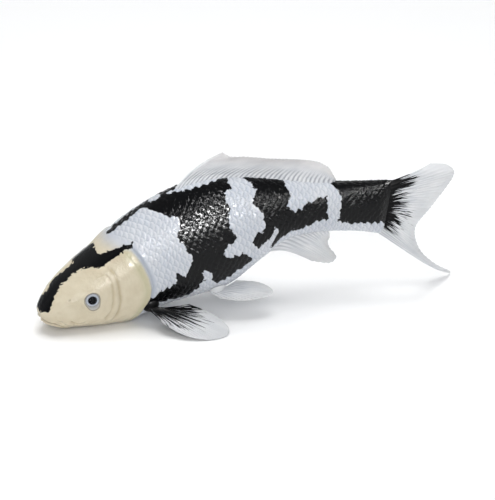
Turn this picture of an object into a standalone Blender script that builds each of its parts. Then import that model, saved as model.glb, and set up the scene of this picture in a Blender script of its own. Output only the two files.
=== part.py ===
"""Koi carp display figure, moulded in PVC, about 300 mm long.

Two glued half shells trap the dorsal, tail and anal fins by tabs that the shells' locating pins
pass through. The four paired fins plug into round holes and turn on their necks, and each eye is
a white bead under a clear dome. The head points to -X and the back to +Z; the fish's left is -Y.
"""

import math

import bmesh
import bpy
import numpy as np
from mathutils import Matrix, Vector

MM = 0.001

# Driving sizes, in millimetres.
BODY_LENGTH = 240.0  # snout to the root of the tail fin, along the backbone
BODY_DEPTH = 80.0
BODY_WIDTH = 51.0
WALL = 2.2
SEAM = 0.3  # gap between the two half shells
CLEARANCE = 0.3  # between any two pieces that meet
BELLY_ROUND = 0.88  # below 1, the belly is fuller than an ellipse
SECTION_MIDDLE = 0.2  # how far a section's widest point follows the back's height
REST_FLAT = 0.9  # how deep the flat under the throat cuts into the round form
NOSE_SOLID = 44.0  # length of the head that is moulded solid, round the eyes
TAIL_SOLID = 20.0  # length of the tail root that is moulded solid, round the tail fin's tab

FIN_ROOT = 1.8  # fin thickness at the root
FIN_EDGE_SHARE = 0.5  # thickness at the edge, as a share of that at the root
TAB_THICK = 1.8
TAB_DEPTH = 11.0

PIN_RADIUS = 1.6
PIN_REACH = 4.5  # how far a locating pin passes the seam
BOSS_RADIUS = 3.6

EYE_RADIUS = 4.2
EYE_PLUG = 5.0  # depth of the bead behind the skin
LENS_RISE = 1.3
LENS_RIM = 0.3  # height of the dome's straight rim
EYE_PROUD = 0.2  # how far the bead stands out of the skin

NECK_RADIUS = 3.0
FLANGE_RADIUS = 4.3
FLANGE_THICK = 1.4
ROOT_DISC_RADIUS = 5.4
ROOT_DISC_HEIGHT = 3.4
ROOT_DISC_BEVEL = 1.2
FLANGE_GAP = 3.2 * CLEARANCE  # end play of a paired fin's neck behind the wall
HOLE_RUNOUT = 6.0  # how far a hole's cutter passes each face

# The body's form: share of BODY_LENGTH from the snout, then the heights above and below the
# backbone as shares of BODY_DEPTH, the half width as a share of BODY_WIDTH, and how sharply the
# back is ridged, from 0.7 for a broad flat head to 1.1 for a ridged back.
BODY_FORM = (
    (0.000, 0.000, 0.030, 0.000, 0.80),
    (0.010, 0.050, 0.105, 0.145, 0.78),
    (0.035, 0.105, 0.168, 0.222, 0.74),
    (0.080, 0.165, 0.232, 0.320, 0.72),
    (0.130, 0.210, 0.300, 0.400, 0.72),
    (0.190, 0.270, 0.360, 0.445, 0.76),
    (0.260, 0.357, 0.380, 0.475, 0.88),
    (0.340, 0.445, 0.380, 0.495, 1.00),
    (0.430, 0.500, 0.405, 0.500, 1.05),
    (0.520, 0.508, 0.400, 0.475, 1.00),
    (0.620, 0.440, 0.270, 0.395, 0.95),
    (0.700, 0.362, 0.155, 0.305, 0.95),
    (0.780, 0.290, 0.145, 0.240, 0.95),
    (0.870, 0.255, 0.163, 0.185, 0.95),
    (0.940, 0.255, 0.180, 0.145, 0.95),
    (1.000, 0.270, 0.205, 0.090, 0.95),
)

# The backbone's bend: share of BODY_LENGTH, heading and pitch in degrees. A positive heading
# runs to the fish's right on the way to the tail, and a positive pitch runs upwards.
BACKBONE = (
    (0.00, 21.0, 16.0),
    (0.25, 5.0, 17.5),
    (0.50, -5.0, 15.0),
    (0.75, -2.0, 5.0),
    (1.00, -9.0, -5.0),
    (1.30, -18.0, -9.0),
)


def smooth(rows, at):
    """The columns after the first of rows, on a smooth curve through them, at one value."""
    xs = [row[0] for row in rows]
    last = len(rows) - 1
    i = min(max(np.searchsorted(xs, at) - 1, 0), last - 1)
    values = [np.array(row[1:], float) for row in rows]

    def slope(k):
        a, b = max(k - 1, 0), min(k + 1, last)
        return (values[b] - values[a]) / (xs[b] - xs[a])

    step = xs[i + 1] - xs[i]
    t = min(max((at - xs[i]) / step, 0.0), 1.0)
    return (
        values[i] * (1 + 2 * t) * (1 - t) ** 2
        + slope(i) * step * t * (1 - t) ** 2
        + values[i + 1] * t * t * (3 - 2 * t)
        + slope(i + 1) * step * t * t * (t - 1)
    )


# ---------------------------------------------------------------- backbone and body form


def backbone_points():
    """Points, tail-ward directions and up directions every millimetre along the backbone."""
    length = int(BODY_LENGTH * BACKBONE[-1][0]) + 1
    points, ways = [np.zeros(3)], []
    for millimetre in range(length):
        heading, pitch = np.radians(smooth(BACKBONE, millimetre / BODY_LENGTH))
        ways.append(
            np.array(
                [
                    math.cos(heading) * math.cos(pitch),
                    math.sin(heading) * math.cos(pitch),
                    math.sin(pitch),
                ]
            )
        )
        points.append(points[-1] + ways[-1])
    return np.array(points[:-1]), np.array(ways)


SPINE, SPINE_WAY = backbone_points()


def axes_at(along):
    """Backbone point, tail-ward, left and up directions, at a length from the snout."""
    whole = min(max(along, 0.0), len(SPINE) - 1.001)
    i = int(whole)
    part = whole - i
    point = SPINE[i] * (1 - part) + SPINE[i + 1] * part + SPINE_WAY[i] * (along - whole)
    way = SPINE_WAY[i] * (1 - part) + SPINE_WAY[i + 1] * part
    way /= np.linalg.norm(way)
    left = np.cross(way, (0.0, 0.0, 1.0))
    left /= np.linalg.norm(left)
    return point, way, left, np.cross(left, way)


def place(along, left, up):
    """A point in the fish's frame, from its length along the backbone, left of it and above."""
    point, _, left_way, up_way = axes_at(along)
    return point + left * left_way + up * up_way


def form_at(along):
    """Height above, depth below, half width and ridging of the body at a length from the snout."""
    share = min(max(along / BODY_LENGTH, 0.0), 1.0)
    rows = [(math.sqrt(row[0]), *row[1:]) for row in BODY_FORM]
    above, below, half, ridge = smooth(rows, math.sqrt(share))
    return above * BODY_DEPTH, below * BODY_DEPTH, half * BODY_WIDTH, ridge


def contour(along, angle, inset=0.0):
    """Left and up coordinates on the body's section, angle 0 at the back and 180 at the belly."""
    above, below, half, ridge = form_at(along)
    above, below, half = above - inset, below - inset, half - inset
    middle = SECTION_MIDDLE * (above - below)
    cosine, sine = math.cos(math.radians(angle)), max(math.sin(math.radians(angle)), 0.0)
    if cosine > 0:
        return half * sine**ridge, middle + (above - middle) * cosine**ridge
    return half * sine**BELLY_ROUND, middle - (below + middle) * (-cosine) ** BELLY_ROUND


def half_width_at(along, up, inset):
    """Half width of the section at a height, for pieces that reach from the seam to the wall."""
    angles = np.linspace(0, 180, 181)
    pairs = [contour(along, angle, inset) for angle in angles]
    return float(np.interp(-up, [-p[1] for p in pairs], [p[0] for p in pairs]))


def skin(along, angle, side):
    """A point on the outer skin. side is 1 on the fish's left and -1 on its right."""
    left, up = contour(along, angle)
    return place(along, side * left, up)


def skin_normal(along, angle, side):
    """The outward direction of the skin."""
    lengthwise = skin(along + 1, angle, side) - skin(along - 1, angle, side)
    around = skin(along, angle + 2, side) - skin(along, angle - 2, side)
    normal = np.cross(around, lengthwise) * side
    return normal / np.linalg.norm(normal)


def throat_floor():
    """Height of the surface that the figure stands on, a little inside the throat's curve."""
    lowest = min(place(along, 0, -form_at(along)[1])[2] for along in range(5, 120, 2))
    return lowest + REST_FLAT


FLOOR = throat_floor()

# ---------------------------------------------------------------- scene, helpers


def clear_scene():
    for obj in list(bpy.data.objects):
        bpy.data.objects.remove(obj)


clear_scene()
PARTS = bpy.data.collections.new("carp_figure")
CUTTERS = bpy.data.collections.new("cutters")
bpy.context.scene.collection.children.link(PARTS)
bpy.context.scene.collection.children.link(CUTTERS)
STAND = bpy.data.objects.new("stand_frame", None)
PARTS.objects.link(STAND)


def material(name, colour, roughness, metallic=0.0, alpha=1.0):
    made = bpy.data.materials.new(name)
    made.use_nodes = True
    shader = made.node_tree.nodes["Principled BSDF"]
    shader.inputs["Base Color"].default_value = (*colour, 1.0)
    shader.inputs["Roughness"].default_value = roughness
    shader.inputs["Metallic"].default_value = metallic
    shader.inputs["Alpha"].default_value = alpha
    return made


PAINTED_SHELL = material("painted_shell", (0.80, 0.83, 0.88), 0.25)
FIN_PVC = material("fin_pvc", (0.86, 0.87, 0.88), 0.35)
EYE_WHITE = material("eye_white", (0.80, 0.82, 0.86), 0.20)
CLEAR_DOME = material("clear_dome", (0.95, 0.97, 1.0), 0.05, alpha=0.3)


def new_object(name, mesh, look=None, cutter=False):
    obj = bpy.data.objects.new(name, mesh)
    (CUTTERS if cutter else PARTS).objects.link(obj)
    if look:
        mesh.materials.append(look)
    if cutter:
        obj.hide_render = True
        obj.display_type = "WIRE"
    return obj


def mesh_of(name, points, faces):
    """A mesh in metres from points in millimetres, with its faces turned to face out."""
    mesh = bpy.data.meshes.new(name)
    mesh.from_pydata([Vector(p) * MM for p in points], [], faces)
    shape = bmesh.new()
    shape.from_mesh(mesh)
    bmesh.ops.remove_doubles(shape, verts=shape.verts, dist=0.00001)
    bmesh.ops.recalc_face_normals(shape, faces=shape.faces)
    shape.to_mesh(mesh)
    shape.free()
    return mesh


def loft(name, rings):
    """A closed mesh through rings of equally many points, with its two ends capped."""
    count = len(rings[0])
    points = [point for ring in rings for point in ring]
    faces = [
        (
            r * count + i,
            r * count + (i + 1) % count,
            (r + 1) * count + (i + 1) % count,
            (r + 1) * count + i,
        )
        for r in range(len(rings) - 1)
        for i in range(count)
    ]
    faces.append(tuple(reversed(range(count))))
    faces.append(tuple(range(len(points) - count, len(points))))
    return mesh_of(name, points, faces)


def boolean(obj, operation, other):
    modifier = obj.modifiers.new(operation.lower() + "_" + other.name, "BOOLEAN")
    modifier.operation = operation
    modifier.object = other
    modifier.solver = "EXACT"


def rod(name, start, end, radius, sides=20, end_radius=None, cutter=True, look=None):
    """A round bar, or a cone with end_radius, between two points in millimetres."""
    start, end = Vector(start), Vector(end)
    shape = bmesh.new()
    bmesh.ops.create_cone(
        shape,
        cap_ends=True,
        segments=sides,
        radius1=radius * MM,
        radius2=(radius if end_radius is None else end_radius) * MM,
        depth=(end - start).length * MM,
    )
    turn = (end - start).to_track_quat("Z", "Y").to_matrix().to_4x4()
    shape.transform(Matrix.Translation((start + end) * 0.5 * MM) @ turn)
    mesh = bpy.data.meshes.new(name)
    shape.to_mesh(mesh)
    shape.free()
    return new_object(name, mesh, look, cutter=cutter)


# ---------------------------------------------------------------- fins as ribbed sheets


def fan_grid(rays, columns, rows, place_ray):
    """Points on a fin, row by row. rays holds (share across, root x, y, edge x, y, sweep); each
    ray runs from its root to its edge and bends by its sweep at the middle."""
    grid = []
    for row in range(rows + 1):
        out = row / rows
        line = []
        for column in range(columns + 1):
            across = column / columns
            rx, ry, ex, ey, sweep = smooth(rays, across)
            bow = sweep * math.sin(math.pi * out)
            line.append(place_ray(rx + (ex - rx) * out + bow, ry + (ey - ry) * out, out, across))
        grid.append(line)
    return grid


def sheet(name, grid, thickness, look=None, cutter=False, edge_share=1.0, full_rows=0):
    """A thin solid about a grid of points, thinner towards its last row."""
    columns = len(grid[0])
    points = [point for line in grid for point in line]
    faces = [
        (r * columns + c, r * columns + c + 1, (r + 1) * columns + c + 1, (r + 1) * columns + c)
        for r in range(len(grid) - 1)
        for c in range(columns - 1)
    ]
    mesh = bpy.data.meshes.new(name)
    mesh.from_pydata([Vector(p) * MM for p in points], [], faces)
    obj = new_object(name, mesh, look, cutter)
    solidify = obj.modifiers.new("thickness", "SOLIDIFY")
    solidify.thickness = thickness * MM
    solidify.offset = 0.0
    solidify.use_even_offset = True
    if edge_share < 1.0:
        group = obj.vertex_groups.new(name="full_thickness")
        last = len(grid) - 1 - full_rows
        for index in range(len(points)):
            row = index // columns - full_rows
            group.add([index], min(1.0, 1.0 - row / last), "REPLACE")
        solidify.vertex_group = group.name
        solidify.thickness_vertex_group = edge_share
    return obj


# ---------------------------------------------------------------- body half shells

RING_COUNT = 44
ARC_STEPS = 15
PINS = (  # share of BODY_LENGTH, height, from "back", "belly" or "axis"
    (0.235, 8.0, "axis"),
    (0.400, -12.0, "axis"),
    (0.545, 8.5, "back"),
    (0.760, 8.5, "back"),
    (0.785, 8.0, "belly"),
    (0.965, 0.0, "axis"),
)


def pin_height(along, height, datum):
    above, below = form_at(along)[:2]
    return {"back": above - height, "belly": height - below, "axis": height}[datum]


def half_body(side):
    """The outer form of one side, closed along the seam, with the resting flat pressed in."""
    rings = []
    for i in range(RING_COUNT + 1):
        along = BODY_LENGTH * (0.0006 + 0.9994 * (i / RING_COUNT) ** 1.45)
        ring = []
        for j in range(ARC_STEPS + 1):
            left, up = contour(along, 180.0 * j / ARC_STEPS)
            point = place(along, side * max(left, SEAM / 2), up)
            point[2] = max(point[2], FLOOR)
            ring.append(point)
        rings.append(ring)
    return loft("body_form", rings)


def cavity():
    """The hollow inside both shells."""
    rings = []
    start, end = NOSE_SOLID, BODY_LENGTH - TAIL_SOLID
    for i in range(23):
        along = start + (end - start) * i / 22
        ring = [contour(along, angle, WALL) for angle in range(0, 181, 15)]
        right = [(-left, up) for left, up in reversed(ring[1:-1])]
        rings.append([place(along, left, up) for left, up in ring + right])
    return new_object("cavity", loft("cavity", rings), cutter=True)


def make_shell(name, side, hollow, slots):
    """One half shell. The left one carries the locating pins, and the right one their sockets."""
    shell = new_object(name, half_body(side), PAINTED_SHELL)
    boolean(shell, "DIFFERENCE", hollow)
    for number, (share, height, datum) in enumerate(PINS):
        along = share * BODY_LENGTH
        up = pin_height(along, height, datum)
        narrow = min(half_width_at(along, up + rise, WALL) for rise in (-BOSS_RADIUS, BOSS_RADIUS))
        reach = narrow + WALL * 0.45
        if NOSE_SOLID < along < BODY_LENGTH - TAIL_SOLID:
            start = place(along, side * SEAM / 2, up)
            boss = rod(f"boss_{name}_{number}", start, place(along, side * reach, up), BOSS_RADIUS)
            boolean(shell, "UNION", boss)
    for slot in slots:
        boolean(shell, "DIFFERENCE", slot)
    for number, (share, height, datum) in enumerate(PINS):
        along = share * BODY_LENGTH
        up = pin_height(along, height, datum)
        if side > 0:
            pin = rod(
                f"pin_{number}", place(along, 3.0, up), place(along, -PIN_REACH, up), PIN_RADIUS, 14
            )
            boolean(shell, "UNION", pin)
        else:
            deep = -PIN_REACH - CLEARANCE
            hole = rod(
                f"socket_{number}",
                place(along, 2.0, up),
                place(along, deep, up),
                PIN_RADIUS + CLEARANCE,
                14,
            )
            boolean(shell, "DIFFERENCE", hole)
    return shell


def pin_holes(fin, numbers):
    """Cuts the holes that the locating pins pass through in a fin's tab."""
    for number in numbers:
        share, height, datum = PINS[number]
        along = share * BODY_LENGTH
        up = pin_height(along, height, datum)
        radius = PIN_RADIUS + CLEARANCE
        hole = rod(
            f"tab_hole_{number}", place(along, 4.0, up), place(along, -4.0, up), radius, 14
        )
        boolean(fin, "DIFFERENCE", hole)


# ---------------------------------------------------------------- median fins

DORSAL = (  # across, root along, root height, edge along, edge height above the back, sweep
    (0.00, 0.446, 0.0, 0.578, 17.4, -2.0),
    (0.05, 0.462, 0.0, 0.594, 14.6, -1.5),
    (0.15, 0.505, 0.0, 0.625, 14.6, -1.5),
    (0.35, 0.585, 0.0, 0.690, 14.0, -1.5),
    (0.55, 0.665, 0.0, 0.750, 14.5, -1.5),
    (0.75, 0.745, 0.0, 0.798, 13.9, -1.0),
    (0.88, 0.795, 0.0, 0.828, 10.6, -0.5),
    (0.96, 0.830, 0.0, 0.842, 5.5, 0.0),
    (1.00, 0.848, 0.0, 0.850, 2.0, 0.0),
)
ANAL = (
    (0.00, 0.628, 0.0, 0.790, 22.4, -0.5),
    (0.25, 0.690, 0.0, 0.845, 24.0, -0.5),
    (0.42, 0.735, 0.0, 0.866, 20.0, 0.0),
    (0.60, 0.770, 0.0, 0.846, 14.5, 0.0),
    (0.80, 0.805, 0.0, 0.838, 9.0, 0.0),
    (0.92, 0.825, 0.0, 0.842, 6.0, 0.0),
    (1.00, 0.835, 0.0, 0.838, 2.2, 0.0),
)
TAIL = (  # across from the lower lobe, root along, root up, edge along, edge up, sweep
    (0.00, 0.985, -0.200, 1.250, -0.640, 0.0),
    (0.06, 0.987, -0.180, 1.243, -0.610, 0.0),
    (0.14, 0.990, -0.150, 1.200, -0.550, 0.0),
    (0.24, 0.994, -0.110, 1.140, -0.410, 0.0),
    (0.34, 0.997, -0.070, 1.104, -0.260, 0.0),
    (0.45, 1.000, -0.020, 1.092, -0.120, 0.0),
    (0.58, 1.000, 0.040, 1.115, 0.030, 0.0),
    (0.72, 0.997, 0.110, 1.143, 0.190, 0.0),
    (0.84, 0.992, 0.165, 1.166, 0.330, 0.0),
    (0.91, 0.989, 0.200, 1.164, 0.385, 0.0),
    (0.96, 0.987, 0.225, 1.140, 0.418, 0.0),
    (1.00, 0.985, 0.245, 1.100, 0.408, 0.0),
)
LOBE_SETTLE = {0.00: 1.0, 0.06: 0.95, 0.14: 0.7, 0.24: 0.3}  # shares of the drop to the table
LOWER_LOBE_CUP = 0.010  # how fast each lobe bends to the fish's right with its height, per mm
UPPER_LOBE_CUP = 0.006
TAIL_TAB_INSET = 6.0  # from the end of the hollow to the front of the tail's tab
TAIL_TAB_SHARE = 0.72  # height of the tab's front, as a share of the fin's root
TAIL_TAB_HALF = 12.0
SLOT_RUNOUT = 1.6  # how far the slot's cutter passes the fin's root, as a share


def ridge_fin(name, rays, upward, wave, numbers):
    """A fin on the back (upward 1) or belly (-1), and the cutter for its slot."""
    scaled = [
        (across, root * BODY_LENGTH, low, edge * BODY_LENGTH, *rest)
        for across, root, low, edge, *rest in rays
    ]

    def on_ridge(along, height, out, across):
        level = form_at(along)[0 if upward > 0 else 1]
        lean = wave * out * math.sin(2.2 * math.pi * across)
        return place(along, lean, upward * (level + height))

    blade = fan_grid(scaled, 18, 4, on_ridge)
    tab_rows = [[], []]
    slot_rows = [[], [], []]
    for column in range(19):
        root = smooth(scaled, column / 18)[0]
        level = form_at(root)[0 if upward > 0 else 1]
        for line, height in zip(tab_rows, (-TAB_DEPTH, -TAB_DEPTH * 0.4)):
            line.append(place(root, 0, upward * (level + height)))
        grown = root + (column / 18 - 0.5) * 2 * CLEARANCE
        heights = (-TAB_DEPTH - CLEARANCE, -TAB_DEPTH * 0.4, 3.0)
        for line, height in zip(slot_rows, heights):
            line.append(place(grown, 0, upward * (level + height)))
    fin = sheet(
        name, tab_rows + blade, TAB_THICK, FIN_PVC, edge_share=FIN_EDGE_SHARE, full_rows=2
    )
    pin_holes(fin, numbers)
    slot = sheet(name + "_slot", slot_rows, TAB_THICK + 2 * CLEARANCE, cutter=True)
    return fin, slot


def tail_fin():
    """The forked tail fin, its lower lobe long enough to rest on the table."""
    scaled = [
        (across, root * BODY_LENGTH, low * BODY_DEPTH, edge * BODY_LENGTH, high * BODY_DEPTH, sweep)
        for across, root, low, edge, high, sweep in TAIL
    ]
    tip = place(scaled[0][3], -LOWER_LOBE_CUP * scaled[0][4] ** 2, scaled[0][4])
    short = tip[2] - FLOOR - FIN_ROOT * FIN_EDGE_SHARE / 2
    scaled = [
        (*row[:4], row[4] - short * LOBE_SETTLE.get(row[0], 0.0), row[5]) for row in scaled
    ]

    def on_tail(along, up, out, across):
        cup = LOWER_LOBE_CUP if up < 0 else UPPER_LOBE_CUP
        return place(along, -cup * up * up * out * out, up)

    blade = fan_grid(scaled, 20, 6, on_tail)
    tab_front = (BODY_LENGTH - TAIL_SOLID) + TAIL_TAB_INSET
    tab_rows, slot_rows = [[], []], [[], [], []]
    for column in range(21):
        root_along, root_up = smooth(scaled, column / 20)[:2]
        for line, share in zip(tab_rows, (0.0, 0.5)):
            along = tab_front + (root_along - tab_front) * share
            narrowing = TAIL_TAB_SHARE + (1 - TAIL_TAB_SHARE) * share
            line.append(place(along, 0, root_up * narrowing))
        spread = 1 + CLEARANCE / TAIL_TAB_HALF
        slot_heights = (TAIL_TAB_SHARE, (1 + TAIL_TAB_SHARE) / 2, SLOT_RUNOUT)
        for line, share, height in zip(slot_rows, (-0.04, 0.5, SLOT_RUNOUT), slot_heights):
            along = tab_front + (root_along - tab_front) * share
            line.append(place(along, 0, root_up * height * spread))
    fin = sheet(
        "tail_fin", tab_rows + blade, TAB_THICK, FIN_PVC, edge_share=FIN_EDGE_SHARE, full_rows=2
    )
    pin_holes(fin, (5,))
    slot = sheet("tail_fin_slot", slot_rows, TAB_THICK + 2 * CLEARANCE, cutter=True)
    return fin, slot


# ---------------------------------------------------------------- paired fins

BLADE_CROWN = 4.0  # how far a paired fin's blade arches, times 4 at its middle
PECTORAL = {
    "along": 0.280,
    "angle": 126.0,
    "outward": 30.0,  # degrees away from the fish's own direction, seen from above
    "tilt": 18.0,  # degrees that the outer edge lies below the inner one
    "rests": True,
    "droop": 0.0,
    "rays": (  # across from the outer edge, root x, y, edge x, y, sweep
        (0.00, -0.6, -2.6, 10.0, -10.0, 1.0),
        (0.12, 0.0, -2.2, 24.0, -13.5, 1.0),
        (0.28, 0.6, -1.6, 38.0, -11.5, 0.5),
        (0.45, 1.0, -0.8, 48.0, -5.0, 0.0),
        (0.60, 1.2, 0.0, 50.5, 1.5, 0.0),
        (0.75, 1.4, 0.4, 47.0, 7.0, 0.0),
        (0.90, 1.6, 0.7, 37.0, 11.5, 0.0),
        (1.00, 1.8, 0.9, 25.0, 12.8, 0.0),
    ),
}
PELVIC = {
    "along": 0.478,
    "angle": 147.0,
    "outward": 16.0,
    "tilt": 19.0,
    "rests": False,
    "droop": 2.0,
    "rays": (
        (0.00, -0.6, -2.6, 4.0, -6.6, 0.0),
        (0.15, 0.0, -2.2, 15.0, -7.0, 0.0),
        (0.35, 0.6, -1.2, 26.0, -3.8, 0.0),
        (0.50, 1.0, 0.0, 34.0, 1.0, 0.0),
        (0.65, 1.2, 0.4, 34.0, 5.6, 0.0),
        (0.85, 1.6, 0.8, 26.0, 9.2, 0.0),
        (1.00, 1.8, 1.0, 17.0, 10.0, 0.0),
    ),
}


def turn_onto(direction):
    """The turn that takes +Z onto a direction."""
    return Vector(direction).to_track_quat("Z", "Y").to_matrix().to_4x4()


def paired_fin(name, fin, side):
    """A plug-in fin with its round root disc, neck and flange, and the cutter for its hole."""
    along = fin["along"] * BODY_LENGTH
    root = skin(along, fin["angle"], side)
    normal = skin_normal(along, fin["angle"], side)
    heading = axes_at(along)[1] * (1, 1, 0)
    heading /= np.linalg.norm(heading)
    outward = np.cross(heading, (0, 0, 1)) * side
    turn = math.radians(fin["outward"])
    level = heading * math.cos(turn) + outward * math.sin(turn)
    start = root + normal * (CLEARANCE + ROOT_DISC_HEIGHT * 0.6)

    def blade_at(droop):
        length_way = level * math.cos(droop) - np.array((0, 0, math.sin(droop)))
        flat_out = np.cross(length_way, (0, 0, 1)) * side
        flat_out /= np.linalg.norm(flat_out)
        up_way = np.cross(flat_out, length_way) * side
        tilt = math.radians(fin["tilt"])
        chord_out = flat_out * math.cos(tilt) - up_way * math.sin(tilt)

        def on_blade(x, y, out, across):
            crown = BLADE_CROWN * math.sin(math.pi * across) * out * (1 - out)
            return start + length_way * x - chord_out * y + up_way * crown

        return fan_grid(fin["rays"], 14, 6, on_blade)

    droop = math.radians(fin["droop"])
    if fin["rests"]:
        droop = resting_droop(blade_at)
    made = sheet(name, blade_at(droop), FIN_ROOT, FIN_PVC, edge_share=FIN_EDGE_SHARE)
    plug = turned_plug(name + "_plug", root, normal)
    boolean(made, "UNION", plug)
    pivot = bpy.data.objects.new(name + "_pivot", None)
    PARTS.objects.link(pivot)
    pivot.matrix_world = Matrix.Translation(Vector(root) * MM) @ turn_onto(normal)
    made.parent = pivot
    made.matrix_parent_inverse = pivot.matrix_world.inverted()
    hole = rod(
        name + "_hole",
        root + normal * HOLE_RUNOUT,
        root - normal * (WALL + HOLE_RUNOUT),
        NECK_RADIUS + CLEARANCE,
        24,
    )
    return made, hole


def resting_droop(blade_at):
    """The droop at which a blade's lowest point lies on the table."""
    low, high = math.radians(-30), math.radians(40)
    for _ in range(20):
        droop = (low + high) / 2
        lowest = min(point[2] for line in blade_at(droop) for point in line)
        if lowest - FIN_ROOT * FIN_EDGE_SHARE / 2 > FLOOR:
            low = droop
        else:
            high = droop
    return droop


def turned_plug(name, root, normal):
    """Root disc, neck and flange on one axis, as a profile turned round it."""
    inner = WALL + FLANGE_GAP
    profile = (
        (0.0, CLEARANCE + ROOT_DISC_HEIGHT),
        (ROOT_DISC_RADIUS - ROOT_DISC_BEVEL, CLEARANCE + ROOT_DISC_HEIGHT),
        (ROOT_DISC_RADIUS, CLEARANCE + ROOT_DISC_HEIGHT - ROOT_DISC_BEVEL),
        (ROOT_DISC_RADIUS, CLEARANCE),
        (NECK_RADIUS, CLEARANCE),
        (NECK_RADIUS, -inner),
        (FLANGE_RADIUS, -inner),
        (FLANGE_RADIUS - 0.8, -inner - FLANGE_THICK),
        (0.0, -inner - FLANGE_THICK),
    )
    mesh = bpy.data.meshes.new(name)
    mesh.from_pydata(
        [(r * MM, 0, z * MM) for r, z in profile],
        [(i, i + 1) for i in range(len(profile) - 1)],
        [],
    )
    plug = new_object(name, mesh, cutter=True)
    screw = plug.modifiers.new("turn", "SCREW")
    screw.steps = screw.render_steps = 24
    screw.use_merge_vertices = True
    screw.merge_threshold = 0.00001
    plug.matrix_world = Matrix.Translation(Vector(root) * MM) @ turn_onto(normal)
    return plug


# ---------------------------------------------------------------- eyes

EYE_ALONG = 0.122
EYE_ANGLE = 80.0


def eye(side_name, side):
    """The bead and its clear dome, and the cutter for the blind socket in the head."""
    along = EYE_ALONG * BODY_LENGTH
    centre = skin(along, EYE_ANGLE, side)
    normal = skin_normal(along, EYE_ANGLE, side)
    seat = centre + normal * EYE_PROUD
    back = seat - normal * EYE_PLUG
    bead = rod(f"{side_name}_eye", back, seat, EYE_RADIUS, 24, cutter=False, look=EYE_WHITE)
    steps = 5
    profile = [
        (
            EYE_RADIUS * math.sin(math.pi / 2 * i / steps),
            LENS_RISE * math.cos(math.pi / 2 * i / steps),
        )
        for i in range(steps + 1)
    ]
    profile += [(EYE_RADIUS, -LENS_RIM), (0.0, -LENS_RIM)]
    mesh = bpy.data.meshes.new(side_name + "_eye_lens")
    mesh.from_pydata(
        [(r * MM, 0, z * MM) for r, z in profile],
        [(i, i + 1) for i in range(len(profile) - 1)],
        [],
    )
    lens = new_object(side_name + "_eye_lens", mesh, CLEAR_DOME)
    screw = lens.modifiers.new("turn", "SCREW")
    screw.steps = screw.render_steps = 24
    screw.use_merge_vertices = True
    screw.merge_threshold = 0.00001
    lift = Vector(seat) + Vector(normal) * (LENS_RIM + CLEARANCE)
    lens.matrix_world = Matrix.Translation(lift * MM) @ turn_onto(normal)
    socket = rod(
        f"{side_name}_eye_socket",
        seat - Vector(normal) * (EYE_PLUG + CLEARANCE),
        seat + Vector(normal) * HOLE_RUNOUT,
        EYE_RADIUS + CLEARANCE,
        24,
    )
    return bead, lens, socket


# ---------------------------------------------------------------- assembly


def stand_on_table(made):
    """Moves the whole fish so that its box is centred on the origin and its foot is at z = 0."""
    for obj in list(PARTS.objects) + list(CUTTERS.objects):
        if obj is not STAND and obj.parent is None:
            obj.parent = STAND
    bpy.context.view_layer.update()
    graph = bpy.context.evaluated_depsgraph_get()
    corners = [
        obj.matrix_world @ vertex.co
        for obj in made
        for vertex in obj.evaluated_get(graph).data.vertices
    ]
    low = Vector(map(min, zip(*corners)))
    high = Vector(map(max, zip(*corners)))
    middle = (low + high) / 2
    STAND.location = (-middle.x, -middle.y, -low.z)
    bpy.context.view_layer.update()


def main():
    dorsal, dorsal_slot = ridge_fin("dorsal_fin", DORSAL, 1, 1.2, (2, 3))
    anal, anal_slot = ridge_fin("anal_fin", ANAL, -1, 1.0, (4,))
    tail, tail_slot = tail_fin()
    hollow = cavity()
    made = [dorsal, anal, tail]
    for side_name, side in (("left", 1), ("right", -1)):
        pectoral, pectoral_hole = paired_fin(side_name + "_pectoral_fin", PECTORAL, side)
        pelvic, pelvic_hole = paired_fin(side_name + "_pelvic_fin", PELVIC, side)
        bead, lens, socket = eye(side_name, side)
        slots = [dorsal_slot, anal_slot, tail_slot, pectoral_hole, pelvic_hole, socket]
        shell = make_shell(side_name + "_body_shell", side, hollow, slots)
        made += [pectoral, pelvic, bead, lens, shell]
    stand_on_table(made)


main()
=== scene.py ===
import math

import bmesh
import bpy
import numpy as np
from mathutils import Matrix, Vector


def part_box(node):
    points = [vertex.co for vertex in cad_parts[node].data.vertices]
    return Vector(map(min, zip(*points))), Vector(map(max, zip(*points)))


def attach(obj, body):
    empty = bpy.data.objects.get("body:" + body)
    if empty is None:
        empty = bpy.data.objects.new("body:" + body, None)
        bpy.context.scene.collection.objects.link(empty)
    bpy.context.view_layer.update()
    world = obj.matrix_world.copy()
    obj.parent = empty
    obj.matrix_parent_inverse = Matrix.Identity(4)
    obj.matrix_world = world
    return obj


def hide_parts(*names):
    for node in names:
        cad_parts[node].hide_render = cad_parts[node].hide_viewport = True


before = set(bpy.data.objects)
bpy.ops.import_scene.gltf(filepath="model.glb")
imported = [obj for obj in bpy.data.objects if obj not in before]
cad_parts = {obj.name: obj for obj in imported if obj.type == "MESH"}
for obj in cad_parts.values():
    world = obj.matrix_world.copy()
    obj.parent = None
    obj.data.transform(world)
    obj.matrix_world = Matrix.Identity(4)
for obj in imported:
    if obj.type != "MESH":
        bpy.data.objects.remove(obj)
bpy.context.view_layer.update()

# ------------------------------------------------------------------------ body half shells
# Two PVC half shells, glued along the back and the belly. The mould gives the smooth bony head
# and the scales behind it, which lie like roof tiles, rounded edges to the tail. Sprayed in
# pearl white with an ivory head, hand painted in black scale by scale, and lacquered.

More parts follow.
